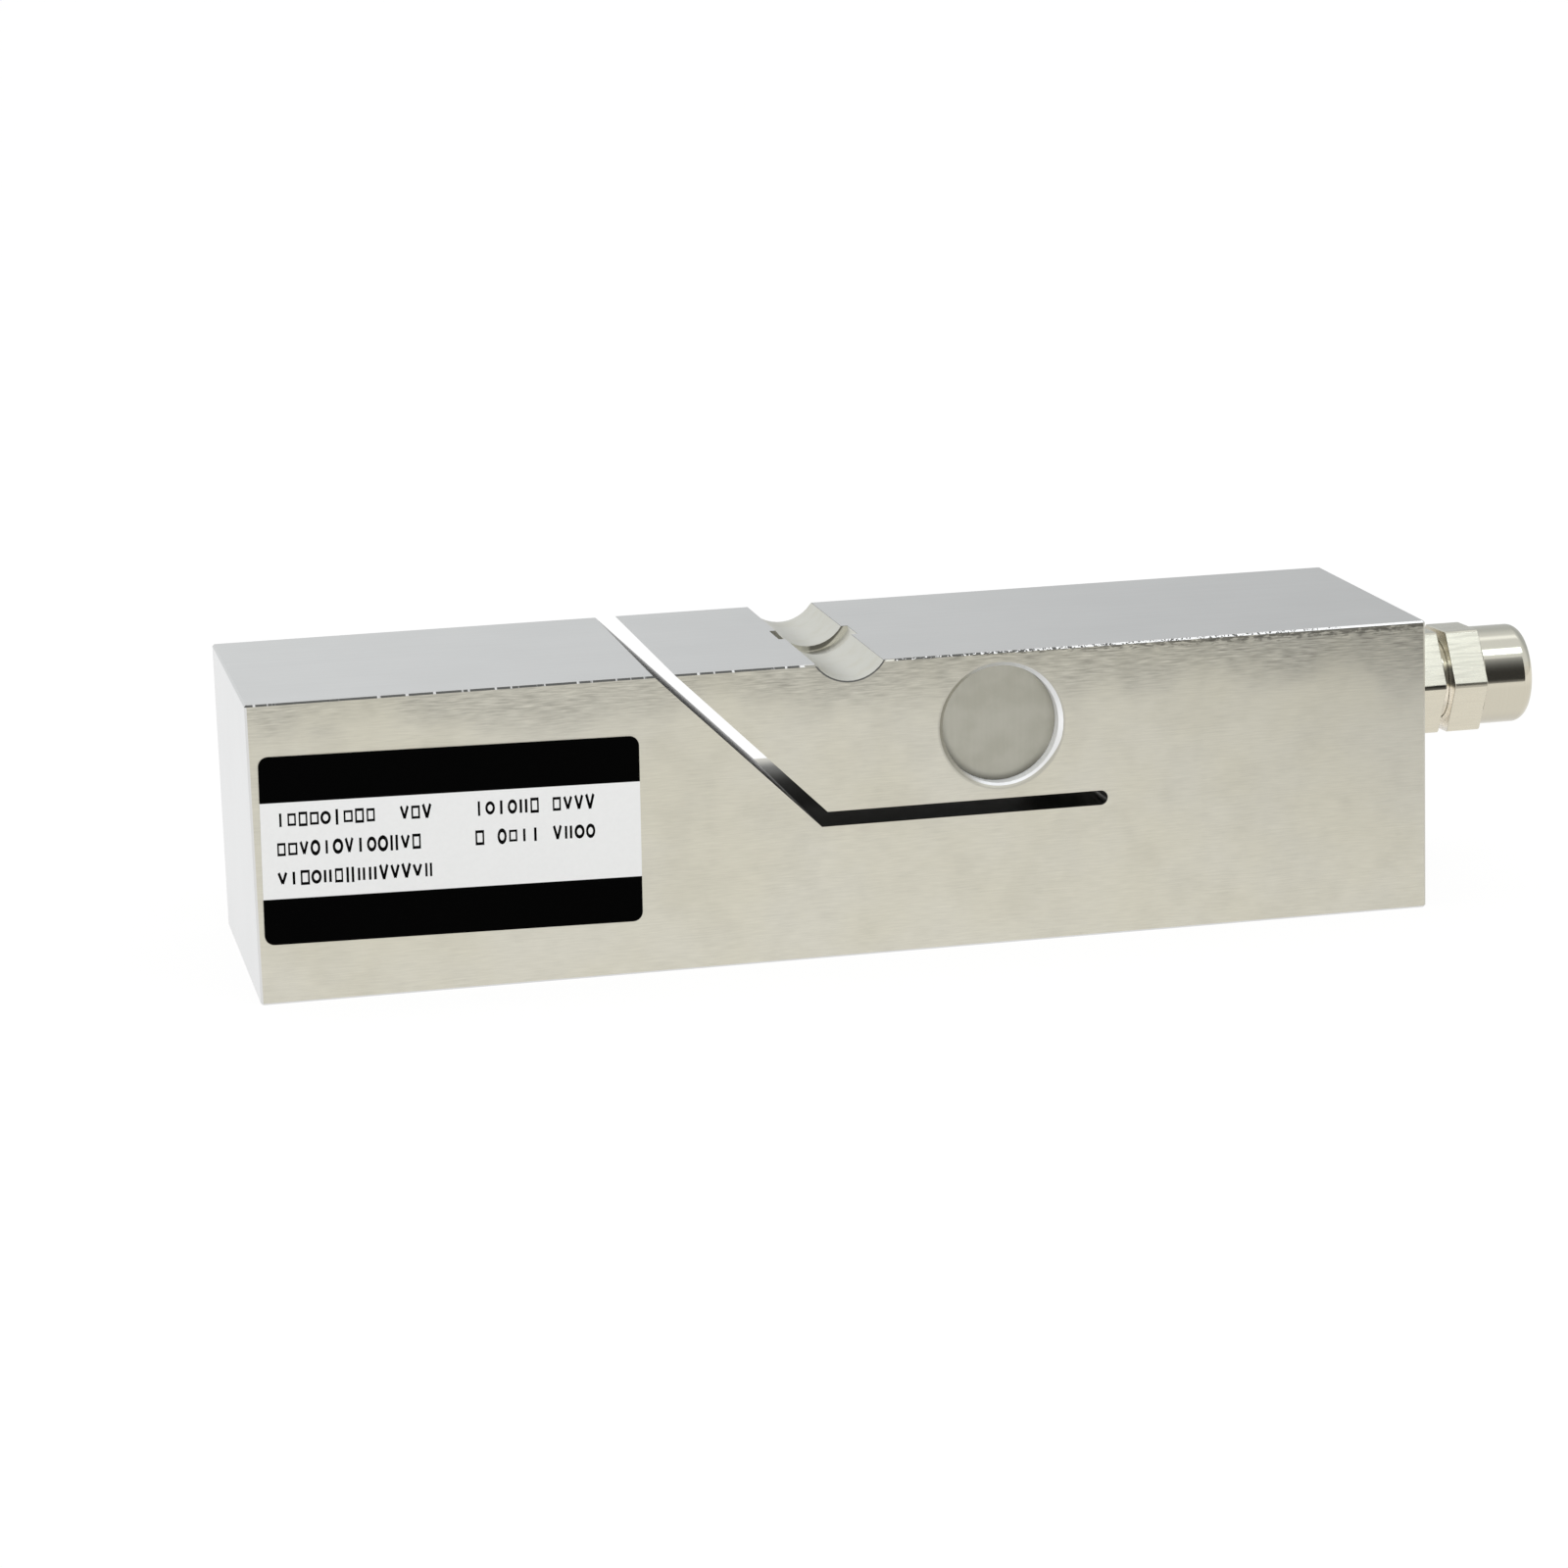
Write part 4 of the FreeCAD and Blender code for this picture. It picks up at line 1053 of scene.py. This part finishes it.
class LOADCELL_OT_windings(bpy.types.Operator):
    """Wind wire on the bobbins of the trim resistors"""

    bl_idname = "load_cell.windings"
    bl_label = "Wind trim resistors"

    def execute(self, context):
        look = context.scene.gauge_look
        wire = drawn_metal("resistance_wire", look.wire, 0.25, (0.2 * MM, 0.2 * MM, 0.2 * MM))
        group = winding_tree(wire)
        for node in ("span_trim_resistor", "zero_trim_resistor"):
            low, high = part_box(node)
            height = high.z - low.z - 2 * (BOBBIN_FLANGE + look.wire_radius)
            values = {
                "Turns": float(look.turns),
                "Coil Radius": BOBBIN_CORE_RADIUS + look.wire_radius,
                "Wire Radius": look.wire_radius,
                "Length": height,
            }
            mesh = grown_mesh(f"{node}_winding", group, values)
            centre = (low + high) / 2
            mesh.transform(Matrix.Translation((centre.x, centre.y, centre.z - height / 2)))
            add_piece(f"{node}_winding", mesh)
        return {"FINISHED"}


class LOADCELL_OT_stage(bpy.types.Operator):
    """Set the floor, the studio light and the camera"""

    bl_idname = "load_cell.stage"
    bl_label = "Set stage"

    def execute(self, context):
        look = context.scene.stage_look
        self.lay_floor(look)
        self.light_studio(context.scene, look)
        self.place_camera(context.scene, look)
        context.scene.view_settings.view_transform = "Standard"
        return {"FINISHED"}

    def lay_floor(self, look):
        """Pale floor: white to the camera and to reflections, with a faint shadow."""
        outline = bmesh.new()
        bmesh.ops.create_circle(outline, cap_ends=True, radius=FLOOR_RADIUS, segments=96)
        mesh = made_mesh("floor", outline)
        floor = new_object("floor", mesh)
        material, tree = empty_material("pale_floor")
        rays = tree.node("ShaderNodeLightPath").outputs
        kinds = ("Is Camera Ray", "Is Glossy Ray", "Is Transmission Ray")
        seen = tree.chain("MAXIMUM", [rays[kind] for kind in kinds])
        glow = {"Color": (*WHITE, 1), "Strength": look.whiteness}
        white = tree.node("ShaderNodeEmission", glow).outputs[0]
        paper = tree.node("ShaderNodeBsdfDiffuse", {"Color": (*look.floor, 1)}).outputs[0]
        shown = tree.node("ShaderNodeMixShader", {0: look.shade, 1: white, 2: paper}).outputs[0]
        surface = tree.node("ShaderNodeMixShader", {0: seen, 1: paper, 2: shown}).outputs[0]
        tree.node("ShaderNodeOutputMaterial", {"Surface": surface})
        mesh.materials.append(material)

    def light_studio(self, scene, look):
        """World, white to the camera and a soft studio to the part, a softbox and a dark flag."""
        world = bpy.data.worlds.new("studio")
        world.use_nodes = True
        world.node_tree.nodes.clear()
        tree = Tree(world.node_tree)
        x, y, z = tree.split(tree.node("ShaderNodeTexCoord").outputs["Generated"])
        behind = tree.tinted(look.behind, tree.step(x, 0.0, 0.45, 1.04, 0.68))
        level = tree.blend(tree.step(y, -0.25, 0.35), look.before, behind)
        dome = tree.blend(tree.step(z, 0.6, 0.92), level, look.overhead)
        strip = tree.both(
            tree.step(y, 0.08, 0.22), tree.step(y, 0.4, 0.26), tree.step(z, 0.8, 0.9)
        )
        dome = tree.tinted(dome, tree.level(strip, 1.0, 1.5))
        light, white = [
            tree.node("ShaderNodeBackground", {"Color": tone, "Strength": 1.0}).outputs[0]
            for tone in (dome, (*WHITE, 1))
        ]
        to_camera = tree.node("ShaderNodeLightPath").outputs["Is Camera Ray"]
        shown = tree.node("ShaderNodeMixShader", {0: to_camera, 1: light, 2: white}).outputs[0]
        tree.node("ShaderNodeOutputWorld", {"Surface": shown})
        scene.world = world

        lamp = bpy.data.lights.new("softbox", "AREA")
        lamp.shape = "RECTANGLE"
        lamp.size, lamp.size_y = SOFTBOX_SIZE
        lamp.energy = look.softbox
        lamp.color = SOFTBOX_TINT
        softbox = bpy.data.objects.new("softbox", lamp)
        softbox.location = SOFTBOX_PLACE
        aim = SOFTBOX_AIM - SOFTBOX_PLACE
        softbox.rotation_euler = aim.to_track_quat("-Z", "Y").to_euler()
        scene.collection.objects.link(softbox)
        self.hang_flag()

    def hang_flag(self):
        """Dark flag beside the camera, which only mirrors show."""
        outline = bmesh.new()
        bmesh.ops.create_grid(outline, x_segments=1, y_segments=1, size=0.5)
        mesh = made_mesh("dark_flag", outline)
        facing = Vector((GLAND_AXIS.x - FLAG_PLACE.x, GLAND_AXIS.y - FLAG_PLACE.y, 0))
        turn = facing.to_track_quat("Z", "Y").to_matrix().to_4x4()
        spread = Matrix.Diagonal((*FLAG_SIZE, 1, 1))
        mesh.transform(Matrix.Translation(FLAG_PLACE) @ turn @ spread)
        flag = new_object("dark_flag", mesh)
        flag.visible_camera = False
        flag.visible_diffuse = False
        flag.visible_shadow = False
        material, tree = empty_material("flag_cloth")
        z = tree.split(tree.node("ShaderNodeTexCoord").outputs["Object"])[2]
        rise = tree.math("MAXIMUM", tree.math("DIVIDE", tree.less(z, 0.06), 0.125), 0.0)
        paler = tree.times(tree.math("POWER", rise, 2.0), 0.5)
        shade = tree.total(paler, tree.step(z, 0.02, 0.0, 0.045, 0.25))
        cloth = tree.node("ShaderNodeEmission", {"Strength": shade}).outputs[0]
        tree.node("ShaderNodeOutputMaterial", {"Surface": cloth})
        mesh.materials.append(material)

    def place_camera(self, scene, look):
        """Camera at the photograph's place."""
        back = Vector(
            (
                math.sin(look.azimuth) * math.cos(look.elevation),
                -math.cos(look.azimuth) * math.cos(look.elevation),
                math.sin(look.elevation),
            )
        )
        level = Vector((0, 0, 1)).cross(back).normalized()
        upright = back.cross(level)
        right = math.cos(look.roll) * level + math.sin(look.roll) * upright
        up = back.cross(right)
        camera = bpy.data.objects.new("camera", bpy.data.cameras.new("camera"))
        camera.data.lens = look.lens
        camera.data.clip_start = 0.01
        turn = Matrix((right, up, back)).transposed().to_4x4()
        camera.matrix_world = Matrix.Translation(Vector(look.target) + look.distance * back) @ turn
        scene.collection.objects.link(camera)
        scene.camera = camera


class LOADCELL_PT_looks(bpy.types.Panel):
    """Steps that dress the load cell"""

    bl_idname = "LOADCELL_PT_looks"
    bl_label = "Load cell looks"
    bl_space_type = "VIEW_3D"
    bl_region_type = "UI"
    bl_category = "Load Cell"

    def draw(self, context):
        for step in STEPS:
            self.layout.operator(step.bl_idname)


LOOKS = {
    "beam_look": BeamLook,
    "gland_look": GlandLook,
    "label_look": LabelLook,
    "gauge_look": GaugeLook,
    "stage_look": StageLook,
}
STEPS = (
    LOADCELL_OT_beam,
    LOADCELL_OT_gland,
    LOADCELL_OT_label,
    LOADCELL_OT_gauges,
    LOADCELL_OT_windings,
    LOADCELL_OT_stage,
)
CLASSES = (*LOOKS.values(), *STEPS, LOADCELL_PT_looks)


def register():
    for item in CLASSES:
        bpy.utils.register_class(item)
    for name, look in LOOKS.items():
        setattr(bpy.types.Scene, name, PointerProperty(type=look))


def unregister():
    for name in LOOKS:
        delattr(bpy.types.Scene, name)
    for item in reversed(CLASSES):
        bpy.utils.unregister_class(item)


def main():
    register()
    bpy.ops.load_cell.beam()
    bpy.ops.load_cell.gland()
    bpy.ops.load_cell.label()
    bpy.ops.load_cell.gauges()
    bpy.ops.load_cell.windings()
    bpy.ops.load_cell.stage()


if __name__ == "__main__":
    main()
